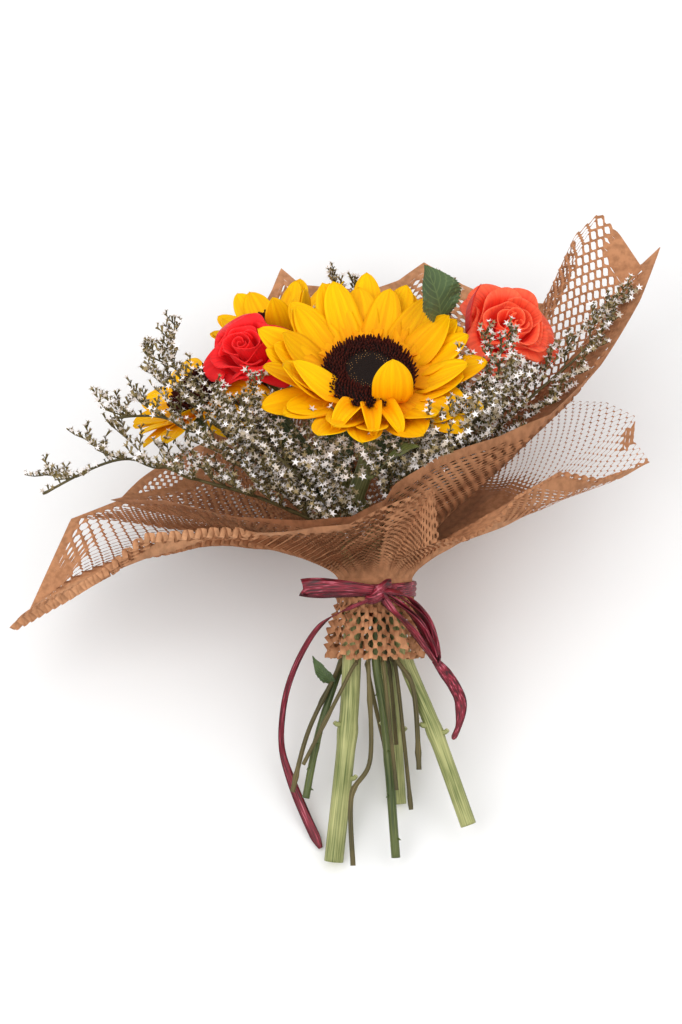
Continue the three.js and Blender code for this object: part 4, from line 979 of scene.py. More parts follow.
def tube(gather, path, size, sides, steps, ribs=0.0, rib_count=6, ends=(None, None), seed=0):
    """A tube: size(t) is its radius, ribs the depth of its furrows, ends the finish slot of each cut
    face, or None for an end that is left open."""
    t = np.linspace(0.0, 1.0, steps + 1)
    middle = spline(path, t)
    along = unit(np.gradient(middle, axis=0))
    side = np.cross(along[0], [0, 1, 0] if abs(along[0][1]) < 0.8 else [1, 0, 0])
    angles = 2 * math.pi * np.arange(sides) / sides
    fine_ribs = 0.5 * np.cos(angles * (rib_count * 2 + 1) + 2 * seed)
    ribbed = 1 + ribs * (np.cos(angles * rib_count + seed) + fine_ribs)
    rings = []
    for i in range(steps + 1):
        side = unit(side - along[i] * (side @ along[i]))
        other = np.cross(along[i], side)
        r = (size(t[i]) * ribbed)[:, None]
        rings.append(middle[i] + np.cos(angles)[:, None] * side * r + np.sin(angles)[:, None] * other * r)
    points = np.stack(rings)
    k = np.arange(sides)
    following = (k + 1) % sides
    base = np.arange(steps)[:, None] * sides
    faces = np.stack([base + k, base + following, base + following + sides, base + k + sides], -1)
    length = np.linalg.norm(np.diff(middle, axis=0), axis=1).sum()
    uv = np.stack(np.broadcast_arrays(k[None, :] / sides, (t * length / STREAKS)[:, None]), -1)
    gather.add(points, faces.reshape(-1, 4), uv)
    for end, order, slot in ((0, -1, ends[0]), (steps, 1, ends[1])):
        if slot is not None:
            cut_end(gather, points[end], along[end] * order, order, slot)


def cut_end(gather, ring, outward, order, slot):
    """A cut face: a slanting border, then a shallow cone to the middle."""
    sides, middle = len(ring), ring.mean(0)
    border = middle + (ring - middle) * 0.55 - outward * 0.5
    pairs = [(k, (k + 1) % sides) for k in range(sides)]
    rim_faces = [[a, b, b + sides, a + sides][::order] for a, b in pairs]
    gather.add(np.vstack([ring, border]), rim_faces, None, 0.5, slot)
    cone = [[a, b, sides][::order] for a, b in pairs]
    gather.add(np.vstack([border, middle - outward * 0.9]), cone, None, 0.5, slot)


trial = Gather()
tube(trial, [[0, 0, 0], [0, 0, 5], [0, 2, 10]], lambda t: 1.0, 8, 4, ends=(0, 0))
print("a trial tube has", trial.count, "points")

# %% [markdown]
# Every bloom has its place, the direction it faces and its own sizes, the same as its solid. All of
# them are written down in one spot, because stalks, discs and petals have to agree on them. The
# points of the stalks run from the cut end up to just below the bloom.

# %% Sizes and places of the flowers, in mm
SUNFLOWERS = {
    "front": dict(at=(-4, 45, 136), face=(0.03, 0.77, 0.64), disc=29.5, ray=45, wide=19, rays=(16, 14),
                  lift=(6, 16), curl=(14, 72)),
    "back": dict(at=(-66, -34, 168), face=(-0.25, 0.42, 0.87), disc=22, ray=38, wide=17, rays=(10, 9),
                 lift=(10, 16), curl=(20, 30)),
    "left": dict(at=(-112, 0, 127), face=(-0.6, 0.42, 0.68), disc=22, ray=36, wide=16, rays=(10, 9),
                 lift=(8, 16), curl=(16, 30)),
}
ROSES = {
    "left": dict(at=(-80, 12, 154), face=(-0.2, 0.78, 0.59), size=26, turn=20),
    "right": dict(at=(85, 10, 169), face=(0.22, 0.84, 0.5), size=28, turn=65),
}
STEMS = {  # radius at the cut end and below the bloom, then the points
    "front": ((6.2, 5.6), [[-26.5, 1.6, -175], [-17.5, 3.4, -90], [-14.8, 8, -42], [-13.9, 3.3, 0],
                           [-16.1, 10.4, 45], [-4.9, 17.7, 84], [-5, 27, 110]]),
    "left": ((5.2, 4.6), [[60, 8, -151], [38, 6.8, -90], [18.5, 1.8, -42], [9.8, 5.4, 0],
                          [-8.3, -0.2, 42], [-44.7, -4.8, 76], [-84, -6, 104]]),
    "back": ((5.4, 4.6), [[15, -13.2, -139], [12, -14, -90], [7.6, -11.4, -42], [5, -9.3, 0],
                          [-5.4, -19.8, 45], [-28.3, -23.3, 90], [-50, -36, 135]]),
    "rose_left": ((2.9, 2.5), [[13.5, 7, -172], [7, 10, -90], [0.4, 13.5, -42], [2.4, 14.9, 0],
                               [-15.6, 21, 45], [-40.2, 12.5, 86], [-66, 4, 122]]),
    "rose_right": ((2.4, 2.3), [[-44.5, 4, -134], [-35.6, 2.7, -90], [-20.2, -6.3, -42], [-11.2, -6.1, 0],
                                [8.2, -6.9, 45], [38.2, -8.2, 92], [68, -8, 134]]),
}
print("blooms", list(SUNFLOWERS), list(ROSES))

# %% [markdown]
# A bloom is easiest to make in its own round frame: an angle about its middle, a distance from it
# and a height along the direction it faces. An empty that holds the parts would do the same, but
# here the points are bent first and gathered later. Round bodies and small modelled shapes are set
# on a bloom by two more helpers.

# %% A bloom's own frame, and shapes set on it
class Head:
    """Cylinder coordinates about a flower's middle: angle 0 to the right, 90 to its upper edge."""
    def __init__(self, at, face):
        self.at, self.n = np.asarray(at, float), unit(face)
        self.right = unit(np.array([1.0, 0, 0]) - self.n * self.n[0])
        self.up = unit(np.cross(self.n, self.right))
        if self.up[2] < 0:
            self.up = -self.up

    def __call__(self, a, r, z):
        a, r, z = np.broadcast_arrays(*(np.asarray(x, float) for x in (a, r, z)))
        flat = self.at + self.right * (r * np.cos(a))[..., None] + self.up * (r * np.sin(a))[..., None]
        return flat + self.n * z[..., None]


def turned(gather, head, profile, sides, tint=0.5):
    """A round body on the head's own axis: profile is a list of (radius, height)."""
    points, faces = shape_of(rings_up(profile, sides))
    x, y, z = points.T
    uv = np.stack([np.arctan2(y, x) * 0.95, z / 14], -1)
    gather.add(head.at + points @ np.array([head.right, head.up, head.n]), faces, uv, tint)


def set_on(gather, shape, at, axis, wide, tall, tint=0.5):
    """Sets a modelled shape at a point, with its z axis along the given direction."""
    axis = unit(axis)
    side = unit(np.cross(axis, [0.3, 0.2, 0.93] if abs(axis[2]) < 0.8 else [1, 0, 0]))
    points, faces = shape
    points = points * [wide, wide, tall] @ np.array([side, np.cross(axis, side), axis])
    gather.add(np.asarray(at) + points, faces, None, tint)


print("the front bloom faces", Head((0, 0, 0), SUNFLOWERS["front"]["face"]).n.round(2))

# %% [markdown]
# Leaves are thin arched blades. A rose leaf has a saw-toothed edge, a sunken midrib and side veins
# that run to the teeth. Leaves cut from a flat picture would have no teeth on their outline. So one
# grid is bent to each leaf and the teeth are cut into the outline itself. The veins are a relief
# that follows the uv map: slanting bands for the side veins, and a line where x is zero.

# %% Leaf finishes
def leaf_finish(name, dark, mid, light):
    made = Finish(name, rough=0.5, sheen=0.1, specular=0.4)
    across, along = made.across_and_along()
    side = made.reckon("ABSOLUTE", across)
    lean = made.reckon("MULTIPLY_ADD", side, -0.35, along)
    bands = made.reckon("SINE", made.reckon("MULTIPLY", lean, 50.0))
    veins = made.ramp(bands, [(0.0, grey(0.2)), (0.75, grey(0.3)), (1.0, WHITE)])
    rib = made.ramp(side, [(0.0, WHITE), (0.06, BLACK)])
    cloud = made.noise(60.0, detail=4)
    body = made.blend(veins, made.ramp(cloud, [(0.35, dark), (0.65, mid)]), light)
    made.colour(made.blend(rib, body, light))
    made.relief(made.blend(0.5, veins, rib, "ADD"), 0.0008, -0.7)
    return made.material


rose_leaf = leaf_finish("rose_leaf", srgb(62, 74, 30), srgb(92, 104, 44), srgb(128, 134, 72))
dark_leaf = leaf_finish("dark_leaf", srgb(44, 62, 30), srgb(62, 84, 42), srgb(88, 106, 58))
STALK, CUT, GREEN, DARK = 0, 1, 2, 3  # finish slots of every stalk piece
print("leaf finishes made")

# %% [markdown]
# A rose leaf is broadest near its middle and comes to a point. Modifiers could bend a plane to it,
# one after another, but here a formula gives all the leaves one way to grow. The grid's width
# follows the outline, its edge is stepped for each tooth, and the blade rises in an arch with its
# two halves tilted up, as a fold along the midrib does.

# %% Leaf blades
LEAF = grid_of(8, 56)
ARCH = 0.1  # rise of a blade's middle, as a share of its length
NOTCH = 0.13  # depth of a tooth, as a share of the half width


def leaf(gather, root, tip, face, width, teeth, slot):
    """A blade from root to tip, with its upper side toward face and this many teeth to a side."""
    x, s, faces = LEAF
    root, tip = np.asarray(root, float), np.asarray(tip, float)
    length = np.linalg.norm(tip - root)
    d = (tip - root) / length
    side = unit(np.cross(d, unit(face)))
    up = np.cross(side, d)
    up = -up if up @ np.asarray(face) < 0 else up
    saw = (s * teeth * 1.5) % 1.0
    tooth = 1 + NOTCH * (1.2 * (1 - saw) - 0.6) * np.abs(x) ** 2
    half = width / 2 * np.sin(np.pi * np.clip(s, 0.0, 1) ** 0.82) * tooth + 0.25 * (1 - s)
    ripple = 0.5 * np.sin(s * 19 + x * 3) * np.abs(x)
    rise = length * ARCH * np.sin(np.pi * s) + 0.25 * np.abs(x) * half + ripple
    forward = length * s + 1.2 * np.abs(x) * saw
    points = root + d * forward[:, None] + side * (x * half)[:, None] + up * rise[:, None]
    gather.add(points, faces, np.stack([x, s], -1), 0.5, slot)


print("a leaf blade has", len(LEAF[0]), "points")

# %% [markdown]
# A sunflower's green base is a shallow bowl, with two rows of pointed bracts behind the petals. The
# bowl is grown ring by ring. The bracts are one flat grid, bent to each place in the bloom's frame.

# %% Green bracts behind a sunflower
BRACT = grid_of(4, 8)


def green_base(stalk, head, radius):
    """The bowl under the disc, and eighteen bracts in two rows; the radius is the disc's."""
    bowl = [(0.01, -13.5), (5.6, -13.4), (radius * 0.4, -11), (radius * 0.66, -8), (radius * 0.92, -4.7),
            (radius * 0.6, -4.5)]
    turned(stalk, head, bowl, 36)
    x, s, faces = BRACT
    for i in range(18):
        a = math.radians(20 * (i + 0.4 * draw(i, 4)))
        length = radius * (0.75 + 0.3 * draw(i, 5))
        half = radius * 0.2 * np.maximum(0, 1 - s ** 1.6)
        r = radius * 0.62 + length * s
        z = -7.6 - (i % 2) * 1.0 - 5.5 * s * s + 1.2 * x * x
        stalk.add(head(a + x * half / r, r, z), faces, np.stack([x, s], -1), 0.5, GREEN)


print("a bract has", len(BRACT[0]), "points")

# %% [markdown]
# A sunflower stalk thickens at the joints where leaves grew, and short stubs are left where they
# were taken off. Its radius is therefore a function along the stalk, and two stubs are small tubes
# of their own. The front stalk keeps one leaf on a thin stem.

# %% Stalks of the sunflowers
def sunflower_stalk(key):
    flower, (radii, path) = SUNFLOWERS[key], STEMS[key]
    head = Head(flower["at"], flower["face"])
    path = path + [list(head.at - head.n * 12)]
    stalk = Gather()

    def girth(t):
        joints = sum(0.13 * math.exp(-((t - k) / 0.012) ** 2) for k in (0.14, 0.36))
        return (radii[0] + (radii[1] - radii[0]) * t) * (1 + joints) * 0.985

    tube(stalk, path, girth, 40, 150, 0.03, 7, (CUT, STALK), seed=len(key))
    for n, at in enumerate(spline(path, [0.09, 0.15] if key == "front" else [0.137, 0.15])):
        out = unit([(-1) ** n, 0.5, 0.9 * draw(n, 9)])
        r = girth(0.14)
        stub = [at + out * r * 0.8, at + out * (r + 1.6), at + out * (r + 3.2) + [0, 0, 1.2]]
        tube(stalk, stub, lambda t: 1.9 - 0.5 * t, 10, 4, ends=(None, CUT))
    green_base(stalk, head, flower["disc"])
    if key == "front":
        tube(stalk, [[-6, 17, 80], [-4, 40, 72], [3, 66, 76]], lambda t: 1.4 - 0.4 * t, 8, 12)
        leaf(stalk, [2, 63, 75.5], [27, 84, 91], [0, 0.6, 0.8], 19, 7, GREEN)
    made = close_up(stalk.piece("stalk_" + key, [pale_stalk, cut_face, rose_leaf]), weld=1e-6)
    stand_for(made, ["stem_" + key], "stem_green")


for key in ("front", "left", "back"):
    sunflower_stalk(key)

# %% [markdown]
# A rose stalk has thorns, a swollen green hip under the bloom and five narrow sepals that bend back
# from it. The thorn is a cone of six sides, read back and set nine times. The large leaf stands
# where its solid has it. The others are added here: a small one low on the right stalk, and three
# on each stalk that fill the dark gaps between the blooms.

# %% Stalks of the roses, with sepals, thorns and leaves
bpy.ops.mesh.primitive_cone_add(vertices=6, radius1=1, radius2=0.08, depth=1, location=(0, 0, 0.5))
THORN = shape_of(bpy.context.object)
SEPAL = grid_of(4, 10)
ROSE_LEAVES = {  # root and tip of the three leaves in the gaps
    "left": [([-24, 20, 58], [-58, 12, 66]), ([-30, 17, 70], [-20, 8, 112]),
             ([-46, 10, 94], [-92, 0, 104])],
    "right": [([30, -9, 84], [62, -20, 110]), ([24, -8, 70], [-6, -22, 104]),
              ([52, -9, 108], [88, -24, 124])],
}


def rose_stalk(key):
    rose, (radii, path) = ROSES[key], STEMS["rose_" + key]
    head = Head(rose["at"], rose["face"])
    radius = rose["size"]
    hip = -0.82 * radius - 0.4
    path = path + [list(head.at + head.n * (hip - 5))]
    stalk = Gather()

    def girth(t):
        return radii[0] + (radii[1] - radii[0]) * t + 0.35 * math.exp(-((t - 0.11) / 0.01) ** 2)

    tube(stalk, path, girth, 16, 120, 0.03, 3, (CUT, STALK))
    for n in range(9):  # thorns
        at = spline(path, 0.03 + 0.045 * n)[0]
        out = unit([math.cos(n * 2.4), 0.7, -0.15 * n])
        set_on(stalk, THORN, at + out * radii[0] * 0.8, out + [0, 0, -0.35], 1.1, 3.0)
    turned(stalk, head, [(0.01, hip - 8), (3.6, hip - 6.5), (4.6, hip - 3), (3.4, hip), (0.01, hip)], 20)
    x, s, faces = SEPAL
    for i in range(5):
        a = math.radians(72 * i + 25) + x * 0.5 * (1 - s * s) / (1 + 2 * s)
        z = hip - 1.8 - radius * 0.42 * s * s + radius * 0.1 * s
        stalk.add(head(a, 2.5 + radius * 0.72 * s, z), faces, np.stack([x, s], -1), 0.5, GREEN)
    if key == "right":
        leaf(stalk, [-26, -1, -61], [-40, 14, -42], [-0.4, 0.9, 0.1], 9, 6, DARK)
        joint = spline(STEMS["rose_right"][1], 0.93)[0]
        tube(stalk, [joint, [42, 26, 172]], lambda t: 1.0, 8, 10)
        leaf(stalk, [42, 26, 171], [31, 42, 207], [0.4, 0.8, 0.3], 33, 13, DARK)
    for root, tip in ROSE_LEAVES[key]:
        leaf(stalk, root, tip, [0, 1, 0.4], 24, 11, DARK)
    finishes = [dark_stalk, cut_face, rose_leaf, dark_leaf]
    made = close_up(stalk.piece("rose_stalk_" + key, finishes), weld=1e-6)
    stand_for(made, ["stem_rose_" + key], "rose_green")


print("one thorn has", len(THORN[0]), "points")
for key in ("left", "right"):
    rose_stalk(key)

# %% [markdown]
# A sunflower petal is deep orange at its root and clear yellow beyond, with fine veins along it.
# The disc is nearly black with a ring of pale pollen. Both colours follow the mesh: the uv map says
# how far along a petal a point lies, and the shade of each point says which part of a floret it is.

# %% Petal and disc finishes
yellow = Finish("sunflower_petal", rough=0.6, sheen=0.0, specular=0.1, subsurface=0.08)
petal_veins = yellow.noise(1.0, (9, 0.7, 1), "UV", 3)
depth = yellow.ramp(yellow.across_and_along()[1], [(0.0, srgb(240, 130, 0)), (0.22, srgb(252, 172, 0)),
                                                   (0.6, srgb(255, 194, 0)), (1.0, srgb(255, 202, 0))])
streaks = yellow.ramp(petal_veins, [(0.35, srgb(244, 226, 170)), (0.6, WHITE)])
shade = yellow.ramp(yellow.tint(), [(0.0, srgb(228, 214, 200)), (1.0, WHITE)])
yellow.colour(yellow.layered(depth, streaks, shade))
yellow.relief(petal_veins, 0.0012, 0.55)

disc_dark = Finish("disc_floret", rough=0.95, sheen=0.05, specular=0.1)
floret_browns = [(0.0, srgb(16, 9, 7)), (0.35, srgb(44, 34, 30)), (0.55, srgb(44, 13, 9)),
                 (0.8, srgb(84, 28, 16)), (1.0, srgb(168, 128, 80))]
disc_dark.colour(disc_dark.ramp(disc_dark.tint(), floret_browns))
disc_dark.relief(disc_dark.noise(900.0, detail=2), 0.0003)
print("sunflower finishes made")

# %% [markdown]
# The disc of a sunflower is packed by the golden angle, as it grows: tall dark open florets
# outside, a ring with pollen, and short closed buds in the middle. A bump pattern would look flat
# from the side, so one floret is modelled and set several hundred times on a domed body.

# %% One floret, and a disc full of them
def model_floret():
    """One open floret: a tapered tube of four sides that ends in a point."""
    made = rings_up([(1, 0), (0.7, 0.8)], 4, "NOTHING")
    bpy.ops.mesh.extrude_region_move(TRANSFORM_OT_translate={"value": (0, 0, 0.2)})
    bpy.ops.mesh.merge(type="CENTER")
    return shape_of(made)


FLORET = model_floret()
GOLDEN_ANGLE = 2.399963  # radians
DISC_RADII = [0.001, 0.22, 0.42, 0.6, 0.78, 0.92, 0.98, 0.9, 0.5, 0.001]  # shares of the disc's radius
DISC_HEIGHTS = [4.6, 5.3, 6.6, 7.0, 6.2, 4.0, 2.0, 0.35, 0.35, 0.35]  # mm
DOME = ([0, 0.22, 0.42, 0.6, 0.78, 0.92, 1.0], [4.6, 5.3, 6.6, 7.0, 6.2, 4.0, 2.6])  # where florets stand


def disc_florets(gather, head, radius, count):
    """Disc florets placed by the golden angle, taller and spikier toward the rim."""
    for i in range(count):
        f = math.sqrt((i + 0.5) / count)
        a, r = i * GOLDEN_ANGLE, radius * 0.97 * f
        ring = float(smooth(0.5, 0.62, f))
        tall = 0.9 + 3.3 * ring * (0.7 + 0.6 * draw(i, 1)) + 1.2 * float(smooth(0.88, 1, f))
        wide = 0.42 + 0.42 * ring
        lean = -0.25 + 0.75 * float(smooth(0.6, 1.0, f)) + 0.35 * (draw(i, 2) - 0.5)
        pollen = math.exp(-((f - 0.44) / 0.07) ** 2) > draw(i, 5) * 1.1
        way = head.n + (head(a, r + 1, 0) - head(a, r, 0)) * lean + head.right * 0.3 * (draw(i, 3) - 0.5)
        foot_shade = 0.12 if f < 0.5 else 0.5
        tip_shade = 1.0 if pollen else (0.3 if f < 0.5 else 0.62 + 0.15 * draw(i, 7))
        shades = np.where(FLORET[0][:, 2] < 0.1, foot_shade, tip_shade)
        set_on(gather, FLORET, head(a, r, np.interp(f, *DOME) - 0.4), way, wide, tall, shades)


def disc_of(key):
    """The piece of one bloom's disc: a domed body, full of florets."""
    flower, disc = SUNFLOWERS[key], Gather()
    head = Head(flower["at"], flower["face"])
    turned(disc, head, [(flower["disc"] * r, z) for r, z in zip(DISC_RADII, DISC_HEIGHTS)], 48, tint=0.15)
    disc_florets(disc, head, flower["disc"], 900 if key == "front" else 420)
    made = close_up(disc.piece("florets_" + key, [disc_dark.material]), angle=50)
    stand_for(made, ["disc_" + key], "disc_brown")


print("one floret has", len(FLORET[0]), "points")

# %% [markdown]
# A ray petal leaves the disc flat, lifts, then curls toward the face, and it is pleated along its
# length. It could be bent by modifiers, one after another. Here its middle line is walked in small
# steps that turn a little each time, which keeps the petal's length whatever its bend, and the
# grid's points are hung on that line.

# %% One ray petal
RAY = grid_of(10, 22)
BEND_STEPS = 24
ROOT = 4.5  # mm by which a petal's root reaches under the disc
PETAL_THICKNESS = 0.0005  # metres


def ray_petal(gather, head, a, radius, length, width, lift, curl, twist, z0, seed, sweep=0.0, fold=0.16):
    """One ray petal at angle a on a disc of this radius, bent by lift at its root and by curl over
    its length, in degrees. Sweep turns it sideways, and fold closes its edges together."""
    x, s, faces = RAY
    t = (np.arange(BEND_STEPS) + 0.5) / BEND_STEPS
    e = np.radians(lift * smooth(0, 0.2, t) + curl * t ** 1.3)
    r_line = np.concatenate([[radius - ROOT], radius - ROOT + np.cumsum(np.cos(e) * length / BEND_STEPS)])
    z_line = np.concatenate([[z0], z0 + np.cumsum(np.sin(e) * length / BEND_STEPS)])
    k = np.linspace(0, 1, BEND_STEPS + 1)
    r, z = np.interp(s, k, r_line), np.interp(s, k, z_line)
    e = np.radians(lift * smooth(0, 0.2, s) + curl * s ** 1.3)
    outline = np.minimum(0.42 + 1.9 * s, 1) * np.maximum(0, 1 - s ** 4.2) ** 0.72
    half = width / 2 * outline * (1 + 0.04 * np.sin(7 * s + seed))
    pleat = 0.35 * np.cos(x * 3 * np.pi) * np.sin(np.pi * np.minimum(1, s * 1.1)) * (1 - 0.4 * s)
    cup = fold * half * x * x + half * x * twist * s + pleat + 0.5 * np.sin(5 * s + seed) * x * s
    root = head(a, radius - ROOT, 0)
    b = a + math.radians(sweep)
    out, side = head(b, 1, 0) - head.at, head(b + math.pi / 2, 1, 0) - head.at
    rho, z = r - (radius - ROOT) - np.sin(e) * cup, z + np.cos(e) * cup
    sideways = x * half * (1 - 0.5 * max(0, fold - 0.16))
    p = root + out * rho[:, None] + head.n * z[:, None] + side * sideways[:, None]
    gather.add(p, faces, np.stack([x * 0.5 + seed, s], -1), draw(int(seed * 7), 3) * 0.8 + 0.2)


print("a ray petal has", len(RAY[0]), "points")

# %% [markdown]
# Every petal grows by one rule and still differs. Seeded draws vary its length, width, bend and
# angle. Those on the lower side of the front bloom are longer and hang, the back bloom is still
# half closed toward the front one, and the left bloom is bent back. Six petals are folded over the
# lower edge of the front disc; they were set one by one, since no rule gives them.

# %% Petals of the sunflowers
FOLDED_OVER = [  # angle, sweep, length, width, lift, curl, fold
    (-56, -30, 37, 27, 92, 40, 0.12), (-122, -78, 44, 22, 26, 14, 0.2), (-106, -14, 32, 20, 34, -62, 0.7),
    (-90, 4, 34, 19, 38, -58, 0.8), (-76, 12, 32, 18, 30, -54, 0.7), (-140, -50, 42, 21, 20, 22, 0.25)]
TOWARD_FRONT = math.radians(-62)  # where the back bloom meets the front one


def grown_ray(gather, key, head, seed, layer, i, count):
    """Ray petal number i of a layer, by the rule for the bloom with this key."""
    flower, main = SUNFLOWERS[key], key == "front"
    n = seed + layer * 40 + i
    a = 2 * math.pi * (i + 0.5 * layer + 0.5 * (draw(n, 1) - 0.5)) / count
    low, up = float(smooth(-0.15, -0.95, math.sin(a))), float(smooth(0.3, 1, math.sin(a)))
    length = flower["ray"] * (0.9 + 0.2 * draw(n, 2)) * (1 - 0.12 * low) * (0.94 if layer else 1.04)
    width = flower["wide"] * (0.86 + 0.28 * draw(n, 3)) * (1.3 if main else 1.1)
    if main:
        length = length * (1.06 + 0.06 * up) * (1 + 0.22 * low)
    if key == "back" and math.cos(a) < -0.4:
        length = length * 0.68
    l0, l1 = flower["lift"]
    lift = l0 + layer * 9 + (l1 - l0) * (1 - up) + 16 * low * layer
    c0, c1 = flower["curl"]
    curl = c0 + (c1 - c0) * low * (0.55 + 0.75 * draw(n, 4)) + 16 * (draw(n, 5) - 0.5)
    if main and low > 0.2:  # the lowest petals hang, apart from the folded ones
        curl, lift = curl * 0.25, lift * 0.4
        if layer == 0 and low > 0.75:
            return
    if key == "back":
        lift = lift + 62 * max(0, math.cos(a - TOWARD_FRONT)) ** 2
    if key == "left":  # bent back beside the rose, and open toward the front
        beside_rose = math.cos(a) > 0.25
        width = width * 1.25
        lift = -30 if beside_rose else lift
        curl = -25 if beside_rose else -8
    z0 = -0.9 - 1.1 * (i % 2) - (0, 2, 3.2)[layer]
    twist = 0.5 * (draw(n, 6) - 0.5)
    ray_petal(gather, head, a, flower["disc"], length, width, lift, curl, twist, z0, n % 17)


def petals_of(key):
    """The piece of one bloom's petals, on the plate that carries them."""
    flower, petals = SUNFLOWERS[key], Gather()
    head = Head(flower["at"], flower["face"])
    radius, seed = flower["disc"], flower["rays"][0] * 3 + flower["disc"]
    plate = [(0.01, -4.3), (radius * 0.9, -4.3), (radius * 0.95, -2.4), (radius * 0.86, 0), (0.01, 0)]
    turned(petals, head, plate, 40, 0.3)
    for layer, count in enumerate(flower["rays"] + ((13,) if key == "front" else ())):
        for i in range(count):
            grown_ray(petals, key, head, seed, layer, i, count)
    folded = FOLDED_OVER if key == "front" else []
    for n, (angle, sweep, length, width, lift, curl, fold) in enumerate(folded):
        a = math.radians(angle)
        ray_petal(petals, head, a, radius, length, width, lift, curl, 0.1, 0.6 + 0.5 * n, n + 3, sweep, fold)
    made = close_up(petals.piece("petals_" + key, [yellow.material]), thick=PETAL_THICKNESS)
    stand_for(made, ["rays_" + key], "petal_yellow")


for key in SUNFLOWERS:
    disc_of(key)
    petals_of(key)

# %% [markdown]
# A rose petal is thin and soft, with faint veins. Its colour is darkened toward its root as painted
# shade, deep in the bloom where the petals crowd. Daylight comes through it, so that the bloom seems
# to glow from inside. Light that really passes through many thin layers takes long to work out. So
# beside a little scattering under the surface, some of the petal's own colour is given off again as
# a painted glow.

# %% Rose finishes
def velvet(name, root_with_painted_shade, mid, bright, glow):
    made = Finish(name, rough=0.55, sheen=0.05, specular=0.2, subsurface=0.2)
    vein = made.noise(1.0, (14, 1.2, 1), "UV", 3)
    # painted shade: the colour darkens from the petal's tip to its root, deep in the bloom
    depth = made.ramp(made.across_and_along()[1], [(0.0, root_with_painted_shade), (0.55, mid), (1.0, bright)])
    shade = made.ramp(made.tint(), [(0.0, srgb(196, 164, 164)), (1.0, WHITE)])
    veins = made.ramp(vein, [(0.35, srgb(226, 216, 216)), (0.62, WHITE)])
    made.colour(made.layered(depth, veins, shade), glow)
    made.relief(vein, 0.0006, 0.5)
    return made.material


# the last number of each finish is the strength of its painted glow
ROSE_FINISH = {
    "left": velvet("crimson_petal", srgb(196, 5, 20), srgb(242, 14, 28), srgb(252, 38, 42), 0.12),
    "right": velvet("coral_petal", srgb(206, 10, 16), srgb(252, 56, 34), srgb(255, 106, 68), 0.17),
}
print("rose finishes made")

# %% [markdown]
# A rose is a spiral of cupped petals. Each petal is wrapped round the bud, leans out more the
# further out it sits, and rolls its lip back. Sculpting could shape them one by one. Here one grid
# is wrapped many times by the same rule, layer after layer, from the wide outer petals to the one
# that closes the bud.

# %% One rose petal
PETAL = grid_of(28, 20)


def rose_petal(bloom, head, key, n, i, layer):
    """Petal i of layer n, where a layer is: count, size, top, roll, and half its span in degrees."""
    count, size, top, roll, span = layer
    x, s, faces = PETAL
    radius, base = ROSES[key]["size"], -0.82 * ROSES[key]["size"]
    m = 70 + n * 9 + i + radius
    a = math.radians(ROSES[key]["turn"] + 360 * i / count + n * 31 + 26 * (draw(m, 1) - 0.5))
    high = radius * (top + 0.13 * (draw(m, 2) - 0.5))
    out = radius * size * (0.8 + 0.12 * draw(m, 4))
    spread = 0.3 + 0.7 * np.sqrt(s)
    lip = np.clip((s - 0.7 + 0.12 * np.sin(4 * x + m)) / 0.28, 0, 1.4)
    tip_over = (draw(m, 5) - 0.5) * x * s
    r = 3 + (out - 3) * np.sin(np.clip(s * 1.35, 0, 1) * np.pi / 2)
    r = r + radius * roll * lip * lip * 0.42 + radius * 0.075 * x - radius * 0.05 * x * x
    wave = radius * 0.05 * np.sin(3.1 * x + m) * s ** 2 + radius * 0.025 * np.sin(7 * x + 2 * m) * s ** 4
    wave = wave * min(1, size + 0.2)
    r = r + radius * 0.12 * tip_over * min(1, size + 0.1)
    z = (base + 3 + (high - base - 3) * s - radius * roll * 0.45 * lip ** 2
         - radius * 0.2 * x ** 2 * s * s * size + wave + radius * 0.16 * tip_over)
    heart = head.right * (-0.7 if key == "left" else 0.5) - head.up  # where the bud leans
    lean = (1 - size) * radius * (s * 0.22)[:, None] * heart
    shade = 0.25 + 0.75 * (0.4 + 0.6 * draw(m, 8)) * (0.7 if n < 2 and key == "right" else 1)
    points = head(a + x * math.radians(span) * spread, np.maximum(r + wave, 0.8), z) + lean
    bloom.add(points, faces, np.stack([x + m, s], -1), shade)


print("a rose petal has", len(PETAL[0]), "points")

# %% [markdown]
# Seven layers make a bloom, round a small core that closes the gaps between the petals. The coral
# rose has one petal more, which is darker and stands apart at its left, so it gets lines of its
# own. Half a millimetre of thickness is added at the end.

# %% Rose blooms
LAYERS = [[3, 1.0, 0.16, 0.5, 70], [3, 0.92, 0.36, 0.42, 66], [3, 0.76, 0.5, 0.3, 70],
          [3, 0.56, 0.58, 0.2, 80], [2, 0.38, 0.62, 0.12, 112], [2, 0.24, 0.62, 0.05, 130],
          [1, 0.12, 0.6, 0.0, 170]]

for key, rose in ROSES.items():
    head = Head(rose["at"], rose["face"])
    radius, base = rose["size"], -0.82 * rose["size"]
    bloom = Gather()
    core = [(0.01, base), (radius * 0.24, base + 0.4), (radius * 0.34, base + 5), (radius * 0.26, base + 13),
            (radius * 0.12, 0.2 * radius), (0.01, 0.3 * radius)]
    turned(bloom, head, core, 24, 0.2)
    for n, layer in enumerate(LAYERS):
        for i in range(layer[0]):
            rose_petal(bloom, head, key, n, i, layer)
    if key == "right":
        x, s, faces = PETAL
        r = 6 + radius * 0.86 * np.sin(np.clip(s * 1.3, 0, 1) * np.pi / 2)
        r = r - radius * 0.1 * s ** 3 * (1 - x * x)
        z = base + 3 + radius * 1.3 * s * (1 - 0.12 * x * x) + 0.8 * np.sin(4 * x)
        bloom.add(head(math.radians(168) + x * 0.62 * (0.4 + 0.6 * np.sqrt(s)), r, z), faces,
                  np.stack([x + 9, s * 0.35], -1), 0.1)
    made = close_up(bloom.piece("bloom_" + key, [ROSE_FINISH[key]]), thick=PETAL_THICKNESS)
    stand_for(made, ["rose_" + key], "petal_crimson" if key == "left" else "petal_coral")

